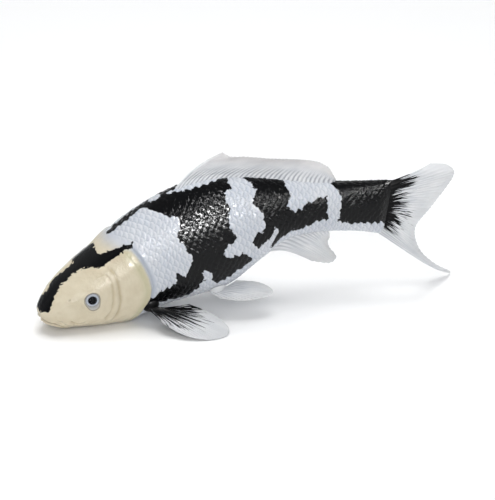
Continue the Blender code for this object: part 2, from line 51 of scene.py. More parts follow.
# The shells bend with a backbone, and every piece is laid out from it: the length from the snout,
# then the angle round the body, 0 at the back and 180 at the belly. Lengths are in millimetres in
# the fish's own frame, whose origin is the snout. Side 1 is the fish's left.
MM = 0.001
BODY_LENGTH = 240.0
BODY_DEPTH = 80.0
BODY_WIDTH = 51.0
BELLY_ROUND = 0.88  # 1 makes the belly's section a half ellipse, less squares it
SECTION_MIDDLE = 0.2  # how far a section's widest point follows the back's height
STAND_LEVEL = -13.71  # height of the table below the snout
BODY_FORM = (  # share along, above and below the backbone, half width, ridging of the back
    (0.000, 0.000, 0.030, 0.000, 0.80),
    (0.010, 0.050, 0.105, 0.145, 0.78),
    (0.035, 0.105, 0.168, 0.222, 0.74),
    (0.080, 0.165, 0.232, 0.320, 0.72),
    (0.130, 0.210, 0.300, 0.400, 0.72),
    (0.190, 0.270, 0.360, 0.445, 0.76),
    (0.260, 0.357, 0.380, 0.475, 0.88),
    (0.340, 0.445, 0.380, 0.495, 1.00),
    (0.430, 0.500, 0.405, 0.500, 1.05),
    (0.520, 0.508, 0.400, 0.475, 1.00),
    (0.620, 0.440, 0.270, 0.395, 0.95),
    (0.700, 0.362, 0.155, 0.305, 0.95),
    (0.780, 0.290, 0.145, 0.240, 0.95),
    (0.870, 0.255, 0.163, 0.185, 0.95),
    (0.940, 0.255, 0.180, 0.145, 0.95),
    (1.000, 0.270, 0.205, 0.090, 0.95),
)
BACKBONE = (  # share along, heading and pitch in degrees
    (0.00, 21.0, 16.0),
    (0.25, 5.0, 17.5),
    (0.50, -5.0, 15.0),
    (0.75, -2.0, 5.0),
    (1.00, -9.0, -5.0),
    (1.30, -18.0, -9.0),
)


def smooth(rows, at):
    """The columns after the first of rows, on a smooth curve through them."""
    table = np.array(rows, float)
    xs, values = table[:, 0], table[:, 1:]
    last = len(xs) - 1
    at = np.asarray(at, float)
    low = np.clip(np.searchsorted(xs, at) - 1, 0, last - 1)
    row = np.arange(last + 1)
    ahead, behind = np.minimum(row + 1, last), np.maximum(row - 1, 0)
    slopes = (values[ahead] - values[behind]) / (xs[ahead] - xs[behind])[:, None]
    step = xs[low + 1] - xs[low]
    t = np.clip((at - xs[low]) / step, 0, 1)[..., None]
    step = step[..., None]
    return (
        values[low] * (1 + 2 * t) * (1 - t) ** 2
        + slopes[low] * step * t * (1 - t) ** 2
        + values[low + 1] * t * t * (3 - 2 * t)
        + slopes[low + 1] * step * t * t * (t - 1)
    )


def unit(vectors):
    return vectors / np.maximum(np.linalg.norm(vectors, axis=-1, keepdims=True), 1e-9)


MARKS = np.arange(int(BODY_LENGTH * BACKBONE[-1][0]) + 1)
HEADING, PITCH = np.radians(smooth(BACKBONE, MARKS / BODY_LENGTH)).T
SPINE_WAY = np.stack(
    [np.cos(HEADING) * np.cos(PITCH), np.sin(HEADING) * np.cos(PITCH), np.sin(PITCH)], -1
)
SPINE = np.vstack([np.zeros(3), np.cumsum(SPINE_WAY, axis=0)[:-1]])


def place(along, left, up):
    """Points in the fish's frame, from their lengths along the backbone, left of it and above."""
    along = np.asarray(along, float)
    whole = np.clip(along, 0, len(SPINE) - 1.001)
    i = whole.astype(int)
    part = (whole - i)[..., None]
    point = SPINE[i] * (1 - part) + SPINE[i + 1] * part + SPINE_WAY[i] * (along - whole)[..., None]
    way = unit(SPINE_WAY[i] * (1 - part) + SPINE_WAY[i + 1] * part)
    left_way = unit(np.cross(way, (0.0, 0.0, 1.0)))
    up_way = np.cross(left_way, way)
    return point + np.asarray(left)[..., None] * left_way + np.asarray(up)[..., None] * up_way


def form_at(along):
    """Height above, depth below, half width and ridging of the body."""
    share = np.clip(np.asarray(along, float) / BODY_LENGTH, 0, 1)
    rows = [(math.sqrt(row[0]), *row[1:]) for row in BODY_FORM]
    above, below, half, ridge = np.moveaxis(smooth(rows, np.sqrt(share)), -1, 0)
    return above * BODY_DEPTH, below * BODY_DEPTH, half * BODY_WIDTH, ridge


def contour(along, angle):
    """Left and up coordinates on the body's section."""
    above, below, half, ridge = form_at(along)
    middle = SECTION_MIDDLE * (above - below)
    turn = np.radians(angle)
    cosine, sine = np.cos(turn), np.maximum(np.sin(turn), 0.0)
    high, low = np.maximum(cosine, 0), np.maximum(-cosine, 0)
    left = half * np.where(cosine > 0, sine**ridge, sine**BELLY_ROUND)
    over = middle + (above - middle) * high**ridge
    under = middle - (below + middle) * low**BELLY_ROUND
    return left, np.where(cosine > 0, over, under)


def skin(along, angle, side):
    left, up = contour(along, angle)
    return place(along, side * left, up)


def skin_normal(along, angle, side):
    lengthwise = skin(along + 1, angle, side) - skin(along - 1, angle, side)
    around = skin(along, angle + 2, side) - skin(along, angle - 2, side)
    return unit(np.cross(around, lengthwise) * side)


SIDES = (("left", 1), ("right", -1))
EYE_ALONG = 0.122 * BODY_LENGTH
EYE_ANGLE = 80.0
EYE_PLUG = 5.0  # length of the bead
EYE_PROUD = 0.2  # how far the bead's rim stands out of the skin

# The frame's two eye beads say where the snout lies.
DATUM = np.zeros(3)
for side_name, side in SIDES:
    low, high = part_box(side_name + "_eye")
    depth = EYE_PROUD - EYE_PLUG / 2
    bead = skin(EYE_ALONG, EYE_ANGLE, side) + skin_normal(EYE_ALONG, EYE_ANGLE, side) * depth
    DATUM += (np.array((low + high) / 2) - bead * MM) / 2


def build_piece(name, points, faces, shades, body):
    """A smooth-shaded mesh riding on a body, with the named values its paint is laid out by."""
    mesh = bpy.data.meshes.new(name)
    points = np.asarray(points, float) * MM + DATUM
    faces = np.asarray(faces, np.int32)
    sides = faces.shape[1]
    mesh.vertices.add(len(points))
    mesh.vertices.foreach_set("co", points.astype(np.float32).ravel())
    mesh.loops.add(faces.size)
    mesh.loops.foreach_set("vertex_index", faces.ravel())
    mesh.polygons.add(len(faces))
    mesh.polygons.foreach_set("loop_start", np.arange(0, faces.size, sides, dtype=np.int32))
    mesh.update(calc_edges=True)
    mesh.validate()
    mesh.polygons.foreach_set("use_smooth", np.ones(len(mesh.polygons), bool))
    for shade, values in shades.items():
        values = np.asarray(values, np.float32)
        if values.ndim == 1:
            layer = mesh.attributes.new(shade, "FLOAT", "POINT")
            layer.data.foreach_set("value", values)
        else:
            layer = mesh.attributes.new(shade, "FLOAT_VECTOR", "POINT")
            layer.data.foreach_set("vector", values.ravel())
    piece = bpy.data.objects.new(name, mesh)
    bpy.context.scene.collection.objects.link(piece)
    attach(piece, body)
    return piece


def grid_faces(rows, columns, first=0):
    """Quads between neighbouring points of a grid numbered row by row."""
    corner = first + (np.arange(rows - 1)[:, None] * columns + np.arange(columns - 1)).ravel()
    return np.stack([corner, corner + 1, corner + columns + 1, corner + columns], -1)


def ease(low, high, at):
    """0 below low and 1 above high, with a soft start and end. low may lie above high."""
    t = np.clip((np.asarray(at, float) - low) / (high - low), 0, 1)
    return t * t * (3 - 2 * t)


SEAM_HALF = 0.03
STATIONS = 470  # rings of points from snout to tail, and points from back to belly on each
AROUND = 200
SCALE_LONG = 4.8
SCALE_WIDE = 6.2
SCALE_ROUND = 2.6  # how far a scale's rear edge rounds off to its corners
SCALE_CENTRE = 0.45  # share of a scale's length from its rear tip to its middle
SCALE_RISE = 0.72
SCALES_START = (2.6, 5.4)  # how far behind the gill cover the scales begin and are full
SCALES_END = (234.0, 241.0)  # where they fade out again over the tail's root
BODY_REACH = 8.0  # how far the skin runs on over the root of the tail fin
TAIL_NARROWS = 232.0
WHOLE_SCALE_SHARE = 0.36  # of the black painted scale by scale, the rest is brushed to the outline
BRUSH_EDGE = 1.9  # half the width over which the brushing fades out
SCALE_DRIFT = (1.2, 2.0)  # how unevenly scales are picked, in millimetres along and degrees
COVER_RISE = 1.3  # step from the gill cover's edge down to the first scales
SOCKET_DEPTH = 2.4
SOCKET_WALL = (3.6, 4.9)
SKIN_WAVE, SKIN_RIPPLE, SKIN_FOLDS = 0.10, 0.07, 0.07

GILL_EDGE = (  # angle, length: the rear edge of the gill cover, over the nape to the throat
    (0, 57.0), (22, 59.0), (34, 62.0), (42, 65.5), (56, 67.5), (73, 69.5), (87, 70.5),
    (98, 70.0), (110, 67.5), (121, 62.5), (140, 57.0), (160, 54.0), (180, 53.0),
)
CHEEK_EDGE = ((41, 46.5), (60, 48.5), (83, 47.5), (96, 46.0), (118, 41.0), (135, 36.0))
CHEEK_RIDGE = ((44, 37.0), (50, 43.0), (69, 44.5), (86, 43.0), (101, 39.5), (116, 34.0))
MOUTH_LINE = ((0.4, 136.0), (2.0, 126.0), (4.0, 122.0), (7.0, 133.0), (11.0, 150.0))
LIP_RIDGE = ((6.5, 96.0), (8.6, 103.0), (10.5, 116.0), (13.5, 126.0))
BARBEL = ((13.6, 108.0), (15.5, 115.0), (17.5, 119.5), (20.6, 119.0))
NOSTRIL = (16.0, 56.0)
OPERCLE = (57.5, 74.0)
CHEEK = (39.0, 68.0)
HEAD_BEADS = (  # line followed, height (a groove's is negative), distance from it, half width
    ("cover", 0.55, 3.0, 1.3),
    ("cover", -0.35, 1.2, 0.8),
    ("cover_rim", -0.30, -4.2, 0.8),
    ("cheek", 0.55, -1.5, 2.6),
    ("cheek", -0.50, 1.3, 1.1),
    ("cheek_ridge", 0.35, -1.0, 2.0),
    ("cheek_ridge", -0.30, 0.9, 0.8),
    ("mouth", 0.50, 1.6, 0.9),
    ("mouth", -1.00, 0.0, 0.6),
    ("lip", 0.90, 0.0, 1.1),
    ("lip", -0.25, 2.3, 0.7),
    ("barbel", 0.45, 0.0, 0.8),
    ("under_barbel", -0.45, 0.0, 0.6),
    ("nostril", 0.30, 1.3, 0.6),
    ("nostril", -0.45, 0.0, 0.7),
    ("opercle", 1.10, 0.0, 8.5),
    ("eye", 0.55, 5.9, 1.0),
    ("eye", 0.15, 8.4, 0.7),
    ("behind_eye", 0.25, 7.5, 4.0),
    ("cheek_swell", 0.90, 0.0, 4.5),
)

# The black patches, as outlines of (length, angle). A negative angle is on the fish's right.
PATCHES = (
    (  # shoulder to flank, left
        (86, 3), (99, 3), (105, 7), (114, 14), (126, 14), (137, 2), (138, 26), (133, 35),
        (132, 44), (134, 55), (130, 70),
        (133, 83), (125, 91), (124, 98), (131, 101), (138, 106), (143, 121), (136, 125),
        (128, 124), (115, 130), (112, 118), (112, 108), (110, 101), (106, 104), (106, 116),
        (103, 122), (96, 135), (88, 139), (78, 130), (67, 120), (67, 114), (75, 109), (84, 108),
        (88, 102), (90, 94), (95, 101), (102, 91), (102, 80), (101, 73), (97, 66), (97, 60),
        (102, 54), (102, 43), (98, 38), (94, 29), (89, 16),
    ),
    (  # flank below the dorsal fin, left
        (147, -1), (171, -1), (171, 45), (169, 60), (172, 71), (177, 72), (180, 60), (185, 58),
        (189, 53), (195, 53), (196, 79), (197, 95), (190, 96), (184, 102), (176, 112), (167, 110),
        (162, 117), (155, 127), (158, 105), (161, 90), (159, 82), (157, 91), (154, 101),
        (147, 109), (142, 95), (146, 88), (152, 84), (153, 71), (149, 59), (149, 52), (150, 39),
        (154, 31), (149, 24),
    ),
    (  # tail root, both sides
        (203, -30), (201, -60), (206, -84), (212, -104), (228, -112), (260, -116), (260, 118),
        (229, 114), (220, 112), (214, 114), (208, 110), (202, 107), (204, 88), (206, 72),
        (205, 52), (202, 32), (201, 10),
    ),
    (  # shoulder to flank, right
        (98, 1), (98, -12), (92, -24), (97, -40), (104, -52), (98, -66), (108, -78), (112, -96),
        (124, -104), (130, -90), (140, -84), (138, -66), (130, -54), (140, -40), (142, -22),
        (139, 1),
    ),
    (  # below the dorsal fin, right
        (147, 1), (145, -14), (152, -30), (146, -46), (150, -62), (144, -76), (152, -92),
        (164, -96), (166, -80), (176, -72), (182, -86), (190, -76), (184, -56), (172, -48),
        (174, -24), (171, 1),
    ),
    (  # above the right pectoral fin
        (66, -118), (70, -108), (80, -112), (88, -104), (97, -112), (99, -126), (90, -140),
        (80, -134),
    ),
    ((58, -3), (70, 1), (90, 2), (90, -14), (74, -16), (60, -13)),  # along the back
)
HEAD_STRIPE = (
    (2.2, 50), (5, 34), (9, 20), (11, 14), (15.5, 6), (20, 3), (24, 4), (29.5, 2), (35.5, 9),
    (41, 24), (45, 35), (51, 35), (58, 40), (63, 41), (68, 44), (69, 38), (64, 33), (60, 30),
    (54, 21), (48.5, 10), (47.5, 2), (49, -6), (51, -14), (46, -34), (41, -36), (35.5, -28),
    (33.6, -11), (30, -16), (25, -16), (20.5, -25), (17, -24), (11.5, -18), (9, -30),
    (5.5, -60), (1.5, -60), (0.4, 0),
)


def line_reach(at, line, across):
    """How far points lie from a line, both as (length, angle), in millimetres on the skin."""
    near = np.full(at[0].shape, 1e9)
    for (s0, a0), (s1, a1) in zip(line, line[1:]):
        ds, da = s1 - s0, (a1 - a0) * across
        x, y = at[0] - s0, (at[1] - a0) * across
        t = np.clip((x * ds + y * da) / np.maximum(ds * ds + da * da, 1e-9), 0, 1)
        near = np.minimum(near, np.hypot(x - t * ds, y - t * da))
    return near


def inside(at, outline):
    """True where a point lies inside an outline."""
    found = np.zeros(np.shape(at[0]), bool)
    for (s0, a0), (s1, a1) in zip(outline, outline[1:] + outline[:1]):
        if a0 == a1:
            continue
        crosses = (a0 > at[1]) != (a1 > at[1])
        found ^= crosses & (at[0] < s0 + (at[1] - a0) * (s1 - s0) / (a1 - a0))
    return found


def bead_line(reach, width):
    """A rounded bead of unit height and the given half width about a line."""
    return np.exp(-((reach / width) ** 2))


def lay_out_skin(side):
    """Length, angle, arc from the flank's middle line and half girth, on the skin's grid."""
    share = np.linspace(0.0, 1.0, STATIONS)
    along = (BODY_LENGTH + BODY_REACH) * (0.0005 + 0.9995 * share**1.12)
    fine = np.linspace(0, 180, 721)
    angle, arc, girth = [], [], []
    for s in along:
        left, up = contour(np.full(fine.shape, s), fine)
        run = np.concatenate([[0], np.cumsum(np.hypot(np.diff(left), np.diff(up)))])
        steps = np.linspace(0, run[-1], AROUND)
        angle.append(np.interp(steps, run, fine))
        arc.append(steps - np.interp(90, fine, run))
        girth.append(run[-1])
    return np.repeat(along[:, None], AROUND, 1), np.array(angle), np.array(arc), np.array(girth)


def tile(along, arc):
    """The scale that shows at each point: its row, number and centre, the distances to the edge
    of the scale in front and to its own rear edge, and the place across it, from -1 to 1."""
    slow, quick = np.sin(0.11 * along + 0.35 * arc), np.sin(0.27 * arc - 0.05 * along)
    along = along + 0.5 * slow + 0.35 * quick
    row_gap = SCALE_WIDE / 2
    first = np.floor(arc / row_gap)
    best = None
    for k in (0, 1):
        row = first + k
        across = np.clip((arc - row * row_gap) / (row_gap * 1.02), -1, 1)
        stagger = 0.5 * (row % 2)
        sweep = SCALE_ROUND * (1 - np.sqrt(1 - across**2 * 0.98))
        number = np.ceil((along + sweep) / SCALE_LONG - stagger)
        tip = (number + stagger) * SCALE_LONG
        rear = tip - sweep - along
        now = [tip, row, number, rear, across, SCALE_LONG - rear]
        if best is None:
            best = now
        else:
            front = np.minimum(best[5], now[5])
            nearer = now[0] < best[0]
            best = [np.where(nearer, b, a) for a, b in zip(best, now)]
            best[5] = front
    tip, row, number, rear, across, front = best
    return row, number, tip - SCALE_CENTRE * SCALE_LONG, row * row_gap, front, rear, across


def scatter(row, number, salt):
    """A fixed value from 0 to 1 for each scale."""
    value = np.sin(row * 127.1 + number * 311.7 + salt * 74.7) * 43758.5453
    return value - np.floor(value)


def scale_relief(along, angle, arc, behind, nape):
    """The scales' height and the painted shade in the crease round each, with the numbers tile()
    gives.
    """
    row, number, centre, centre_arc, front, rear, across = tile(along, arc)
    scaled = ease(*SCALES_START, behind - 3.0 * nape * ease(0, 12, behind))
    ending = 1 - ease(*SCALES_END, along)
    share = front / np.maximum(front + rear, 1e-6)
    dome = (0.35 + 0.65 * share**0.8) * (1 - 0.45 * across**2)
    smaller = (1 - 0.20 * ease(150, 235, along)) * (1 - 0.45 * ease(120, 165, angle)) * ending
    uneven = 0.8 + 0.4 * scatter(row, number, 1)
    relief = scaled * SCALE_RISE * smaller * dome * ease(0.0, 0.45, rear) * uneven
    # painted shade: darker where each scale tucks under the edge of the one in front
    crease_shade = scaled * (1 - ease(0.0, 1.1, front)) * ending
    return relief, crease_shade, scaled, (row, number, centre, centre_arc, rear)


def black_patches(side, along, angle, arc, across_mm, behind, scales):
    """How much black each point takes. The patches are brushed to their outlines, and whole
    scales along an edge are painted or left out, so that it steps from scale to scale."""
    row, number, centre, centre_arc, _ = scales
    key = (row * 1000 + number).ravel()
    names, first, back = np.unique(key, return_index=True, return_inverse=True)
    tile_along, tile_arc = centre.ravel()[first], centre_arc.ravel()[first]
    ring = np.clip(np.searchsorted(along[:, 0], tile_along), 0, STATIONS - 1)
    tile_angle = np.array([np.interp(g, arc[i], angle[i]) for g, i in zip(tile_arc, ring)])
    drift = scatter(row.ravel()[first], number.ravel()[first], 5) - 0.5
    picked = (tile_along + drift * SCALE_DRIFT[0], side * tile_angle + drift * SCALE_DRIFT[1])
    painted = np.zeros(len(names), bool)
    within = np.full(along.shape, -9.0)
    at = (along, side * angle)
    for outline in PATCHES:
        painted |= inside(picked, outline)
        reach = line_reach(at, outline + outline[:1], across_mm)
        within = np.maximum(within, np.where(inside(at, outline), reach, -reach))
    whole_scales = painted[back.ravel()].reshape(along.shape)
    brushed = ease(-BRUSH_EDGE, BRUSH_EDGE, within)
    black = WHOLE_SCALE_SHARE * whole_scales + (1 - WHOLE_SCALE_SHARE) * brushed
    return black * ease(-2.0, 0.5, behind)


def body_skin(side_name, side):
    """A half shell's skin, with the scales, the head's relief and the values the paint needs."""
    along, angle, arc, girth = lay_out_skin(side)
    left, up = contour(along, angle)
    left = left * (1 - 0.93 * ease(TAIL_NARROWS, BODY_LENGTH + BODY_REACH, along))
    base = place(along, side * np.maximum(left, SEAM_HALF), up)
    lengthwise, around = np.gradient(base, axis=0), np.gradient(base, axis=1)
    normal = unit(np.cross(around, lengthwise) * side)
    across_mm = (girth / 180.0)[:, None]
    behind = along - np.interp(angle, *zip(*GILL_EDGE))
    nape = 1 - ease(30, 50, angle)
    relief, crease_shade, scaled, scales = scale_relief(along, angle, arc, behind, nape)
    row, number, rear = scales[0], scales[1], scales[4]
    black = black_patches(side, along, angle, arc, across_mm, behind, scales)

    # The head's bones, lips, nostril and socket.
    def reach(*line):
        return line_reach((along, angle), line, across_mm)

    head = 1 - ease(-1.5 - 6.0 * nape, 1.5 + 3.0 * nape, behind)
    below_nape = ease(25, 45, angle)
    cheek = along - np.interp(angle, *zip(*CHEEK_EDGE))
    ridge = along - np.interp(angle, *zip(*CHEEK_RIDGE))
    held = ease(36, 50, angle) * (1 - ease(112, 135, angle))
    mouth, nostril = reach(*MOUTH_LINE), reach(NOSTRIL, NOSTRIL)
    barbel = reach(*BARBEL)
    under = line_reach((along, angle - 8.0), BARBEL, across_mm)
    eye = reach((EYE_ALONG, EYE_ANGLE), (EYE_ALONG, EYE_ANGLE))
    lines = {  # distance from each line, and where its beads show
        "cover": (behind, below_nape),
        "cover_rim": (behind, below_nape * ease(35, 60, angle)),
        "cheek": (cheek, held),
        "cheek_ridge": (ridge, held),
        "mouth": (mouth, 1.0),
        "lip": (reach(*LIP_RIDGE), 1.0),
        "barbel": (barbel, 1.0),
        "under_barbel": (under, 1.0),
        "nostril": (nostril, 1.0),
        "opercle": (reach(OPERCLE, OPERCLE), ease(1.0, -4.0, behind)),
        "eye": (eye, 1.0),
        "behind_eye": (eye, ease(-2, 6, along - EYE_ALONG)),
        "cheek_swell": (reach(CHEEK, CHEEK), 1.0),
    }
    cover = ease(-15.0, -1.5, behind) * (1 - ease(-0.6, 0.9, behind)) * ease(18, 40, angle)
    relief += COVER_RISE * cover
    for line, height, distance, width in HEAD_BEADS:
        away, shows = lines[line]
        relief += height * bead_line(away - distance, width) * shows
    relief -= SOCKET_DEPTH * (1 - ease(*SOCKET_WALL, eye))
    wave = np.sin(along * 0.23 + angle * 0.09) * np.sin(angle * 0.13 - along * 0.11)
    ripple = np.sin(along * 0.62 + angle * 0.17) * np.sin(angle * 0.21 - along * 0.47)
    relief += head * (SKIN_WAVE * wave + SKIN_RIPPLE * ripple * ease(35, 55, angle))
    folds = np.sin(along * 1.15 + 0.03 * angle) * ease(-14, -4, behind) * head * ease(70, 110, angle)
    relief += SKIN_FOLDS * folds

    points = base + normal * relief[..., None]
    points[..., 2] = np.maximum(points[..., 2], STAND_LEVEL)
    hair = place(along[:, :1], side * SEAM_HALF * np.ones((STATIONS, 1)), np.zeros((STATIONS, 1)))
    flank = unit((base[:, :1] - hair)[:, 0])
    seam_way = unit(np.cross(np.gradient(base[:, 0], axis=0), flank))
    for column in (0, AROUND - 1):
        slip = np.einsum("ij,ij->i", points[:, column] - base[:, column], seam_way)
        points[:, column] -= seam_way * slip[:, None]

    at = (along, side * angle)
    stripe_far = line_reach(at, HEAD_STRIPE + HEAD_STRIPE[:1], across_mm)
    # painted shade: darker ivory in the grooves behind the cheek edge and the cheek ridge, and under
    # the barbel
    head_groove_shade = held * (bead_line(cheek - 1.3, 1.2) + 0.7 * bead_line(ridge - 0.9, 1.0))
    gill_shadow = 0.8 * bead_line(behind - 1.6, 1.6) * ease(30, 50, angle)
    shades = {
        "black_scale": black,
        "stripe": np.where(inside(at, HEAD_STRIPE), stripe_far, -stripe_far),
        "ivory": head,
        # painted shade in the scales' creases and under the gill cover's edge
        "crease_shade": np.clip(crease_shade + gill_shadow, 0, 1),
        # painted shade in the head's grooves
        "head_groove_shade": np.clip(head_groove_shade + 0.8 * bead_line(under, 0.7), 0, 1),
        # painted shade: dark in the mouth's slit and the nostril's pit
        "mouth": np.clip(bead_line(mouth, 0.6) + 0.4 * bead_line(nostril, 0.6), 0, 1),
        "gill_margin": bead_line(behind + 3.0, 3.4) * ease(28, 48, angle),
        "socket": 1 - ease(4.7, 5.0, eye),
        "eye_line": bead_line(eye - 5.15, 0.28),
        "tone": scatter(row, number, 2) * scaled,
        # painted highlight: lighter along each scale's rear edge
        "rim": bead_line(rear - 0.75, 0.6) * scaled,
    }
    shades = {name: values.ravel() for name, values in shades.items()}
    shades["lay"] = np.stack([along, arc, np.zeros(along.shape)], -1).reshape(-1, 3)

    ring = np.arange(STATIONS - 1) * AROUND
    median = np.stack([ring, ring + AROUND, ring + 2 * AROUND - 1, ring + AROUND - 1], -1)
    faces = np.vstack([grid_faces(STATIONS, AROUND), median])
    if side < 0:
        faces = faces[:, ::-1]
    piece = build_piece(side_name + "_body_skin", points.reshape(-1, 3), faces, shades, "body")
    close_ends(piece, AROUND, STATIONS)
    return piece


def close_ends(piece, columns, rows):
    """Caps a lofted skin's first and last rings, and keeps its seam and end edges crisp."""
    mesh = piece.data
    shape = bmesh.new()
    shape.from_mesh(mesh)
    shape.verts.ensure_lookup_table()
    first = [shape.verts[i] for i in range(columns)]
    final = [shape.verts[(rows - 1) * columns + i] for i in range(columns)]
    for ring in (first, final):
        cap = shape.faces.new(ring)
        cap.smooth = False
    bmesh.ops.recalc_face_normals(shape, faces=shape.faces)
    for face in shape.faces:
        if face.calc_area() > 0 and {v.index % columns for v in face.verts} == {0, columns - 1}:
            face.smooth = False
            for edge in face.edges:
                edge.smooth = False
    shape.to_mesh(mesh)
    shape.free()


class Channel:
    """A socket's value in a material, on which sums are written as on a number."""

    def __init__(self, finish, socket):
        self.finish, self.socket = finish, socket

    def reckon(self, operation, *values):
        return self.finish.node("Math", {"operation": operation}, dict(enumerate(values)))

    def __add__(self, other):
        return self.reckon("ADD", self, other)

    def __radd__(self, other):
        return self.reckon("ADD", other, self)

    def __sub__(self, other):
        return self.reckon("SUBTRACT", self, other)

    def __rsub__(self, other):
        return self.reckon("SUBTRACT", other, self)

    def __mul__(self, other):
        return self.reckon("MULTIPLY", self, other)

    def __rmul__(self, other):
        return self.reckon("MULTIPLY", other, self)


class Finish:
    """A paint or plastic being mixed. node() adds one node and gives back one of its outputs."""

    def __init__(self, name, **constants):
        self.material = bpy.data.materials.new(name)
        self.material.use_nodes = True
        self.tree = self.material.node_tree
        self.shader = self.tree.nodes["Principled BSDF"]
        for socket, value in constants.items():
            self.shader.inputs[socket.replace("_", " ")].default_value = value

    def feed(self, socket, value):
        if isinstance(value, Channel):
            self.tree.links.new(value.socket, socket)
        elif isinstance(value, tuple) and len(value) == 3 and socket.type == "RGBA":
            socket.default_value = (*value, 1.0)
        else:
            socket.default_value = value

    def node(self, kind, settings, sockets, output=0):
        made = self.tree.nodes.new("ShaderNode" + kind)
        for name, value in settings.items():
            setattr(made, name, value)
        for name, value in sockets.items():
            self.feed(made.inputs[name], value)
        return Channel(self, made.outputs[output])

    def shade(self, name):
        return self.node("Attribute", {"attribute_name": name}, {}, "Fac")

    def place_in(self, name):
        return self.node("Attribute", {"attribute_name": name}, {}, "Vector")

    def noise(self, at, scale, detail=3.0, rough=0.5):
        sockets = {"Vector": at, "Scale": scale, "Detail": detail, "Roughness": rough}
        return self.node("TexNoise", {}, sockets, "Fac")

    def stretch(self, at, times):
        return self.node("VectorMath", {"operation": "MULTIPLY"}, {0: at, 1: times})

    def step(self, value, low, high, out_low=0.0, out_high=1.0):
        sockets = {"Value": value, 1: low, 2: high, 3: out_low, 4: out_high}
        return self.node("MapRange", {"interpolation_type": "SMOOTHSTEP"}, sockets)

    def blend(self, mask, under, over):
        return self.node("Mix", {"data_type": "RGBA"}, {0: mask, 6: under, 7: over}, 2)

    def bump(self, height, distance, strength=1.0):
        sockets = {"Height": height, "Distance": distance, "Strength": strength}
        return self.node("Bump", {}, sockets)

    def paint(self, **sockets):
        for socket, value in sockets.items():
            self.feed(self.shader.inputs[socket.replace("_", " ")], value)
        return self.material


PEARL, PEARL_PALE, PEARL_SHADE = (0.49, 0.525, 0.59), (0.56, 0.58, 0.62), (0.27, 0.31, 0.38)
SCALE_PALE, SCALE_RIM_HIGHLIGHT = (0.62, 0.64, 0.67), (0.72, 0.73, 0.75)
IVORY, IVORY_PALE, IVORY_SHADE = (0.58, 0.51, 0.375), (0.64, 0.575, 0.44), (0.38, 0.30, 0.18)
GILL_GREEN = (0.42, 0.42, 0.25)
MOUTH_SHADE_BROWN = (0.20, 0.14, 0.09)
BLACK = (0.0010, 0.0011, 0.0016)
SOCKET_WHITE, SOCKET_LINE = (0.66, 0.65, 0.62), (0.10, 0.10, 0.10)


def body_paint():
    """Pearl and ivory lacquer with the black patches over them, and painted shade and highlights on
    the scales and the head.
    """
    coat = Finish(
        "lacquered_skin",
        Specular_IOR_Level=0.10,
        Coat_Weight=0.50,
        Coat_Roughness=0.04,
        Coat_IOR=1.27,
    )
    lay = coat.place_in("lay")
    cloud = coat.noise(lay, 0.055, 3.0)
    pearl = coat.blend(coat.step(cloud, 0.35, 0.7), PEARL, PEARL_PALE)
    pearl = coat.blend(coat.shade("tone") * 0.35, pearl, SCALE_PALE)
    # painted shade: darker pearl in the creases between scales and under the gill cover's edge
    pearl = coat.blend(coat.shade("crease_shade") * 0.50, pearl, PEARL_SHADE)
    # painted highlight: lighter pearl along each scale's rear edge
    pearl = coat.blend(coat.shade("rim") * 0.55, pearl, SCALE_RIM_HIGHLIGHT)
    blotch = coat.noise(lay, 0.11, 4.0)
    ivory = coat.blend(coat.step(blotch, 0.3, 0.72), IVORY, IVORY_PALE)
    ivory = coat.blend(coat.shade("gill_margin") * 0.45, ivory, GILL_GREEN)
    # painted shade: darker ivory in the grooves of the cheek, the cheek ridge and under the barbel
    ivory = coat.blend(coat.shade("head_groove_shade") * 0.55, ivory, IVORY_SHADE)
    # painted shade: dark brown in the mouth's slit and the nostril's pit
    ivory = coat.blend(coat.shade("mouth") * 0.85, ivory, MOUTH_SHADE_BROWN)
    skin_colour = coat.blend(coat.shade("ivory"), pearl, ivory)
    ragged = coat.noise(lay, 0.42, 2.0, 0.5)
    stripe = coat.step(coat.shade("stripe") + (ragged - 0.5) * 5.0, -0.15, 0.15)
    frayed = coat.shade("black_scale") + (coat.noise(lay, 0.55, 2.0) - 0.5) * 0.9
    scales = coat.step(frayed, 0.45, 0.55)
    black = coat.node("Math", {"operation": "MAXIMUM"}, {0: stripe, 1: scales})
    colour = coat.blend(black, skin_colour, BLACK)
    colour = coat.blend(coat.shade("socket"), colour, SOCKET_WHITE)
    colour = coat.blend(coat.shade("eye_line") * 0.8, colour, SOCKET_LINE)
    lumps = coat.noise(lay, 0.50, 3.0, 0.55)
    grain = coat.noise(lay, 1.4, 3.0, 0.6)
    swirl = lumps + grain * 0.22
    return coat.paint(
        Base_Color=colour,
        Roughness=coat.step(grain, 0.2, 0.8, 0.10, 0.18),
        Normal=coat.bump(swirl, 0.00045, 1.0),
    )


SKIN_PAINT = body_paint()
for side_name, side in SIDES:
    shell = body_skin(side_name, side)
    shell.data.materials.append(SKIN_PAINT)
    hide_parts(side_name + "_body_shell")

# -------------------------------------------------------------------- dorsal, anal and tail fins
# Thin translucent PVC fins, moulded on their own with a fleshy root that sits in a slot in the
# back, the belly or the tail. Fine rays fan out from the root and fork towards the edge; the
# tail's root is dry-brushed in black along its rays.

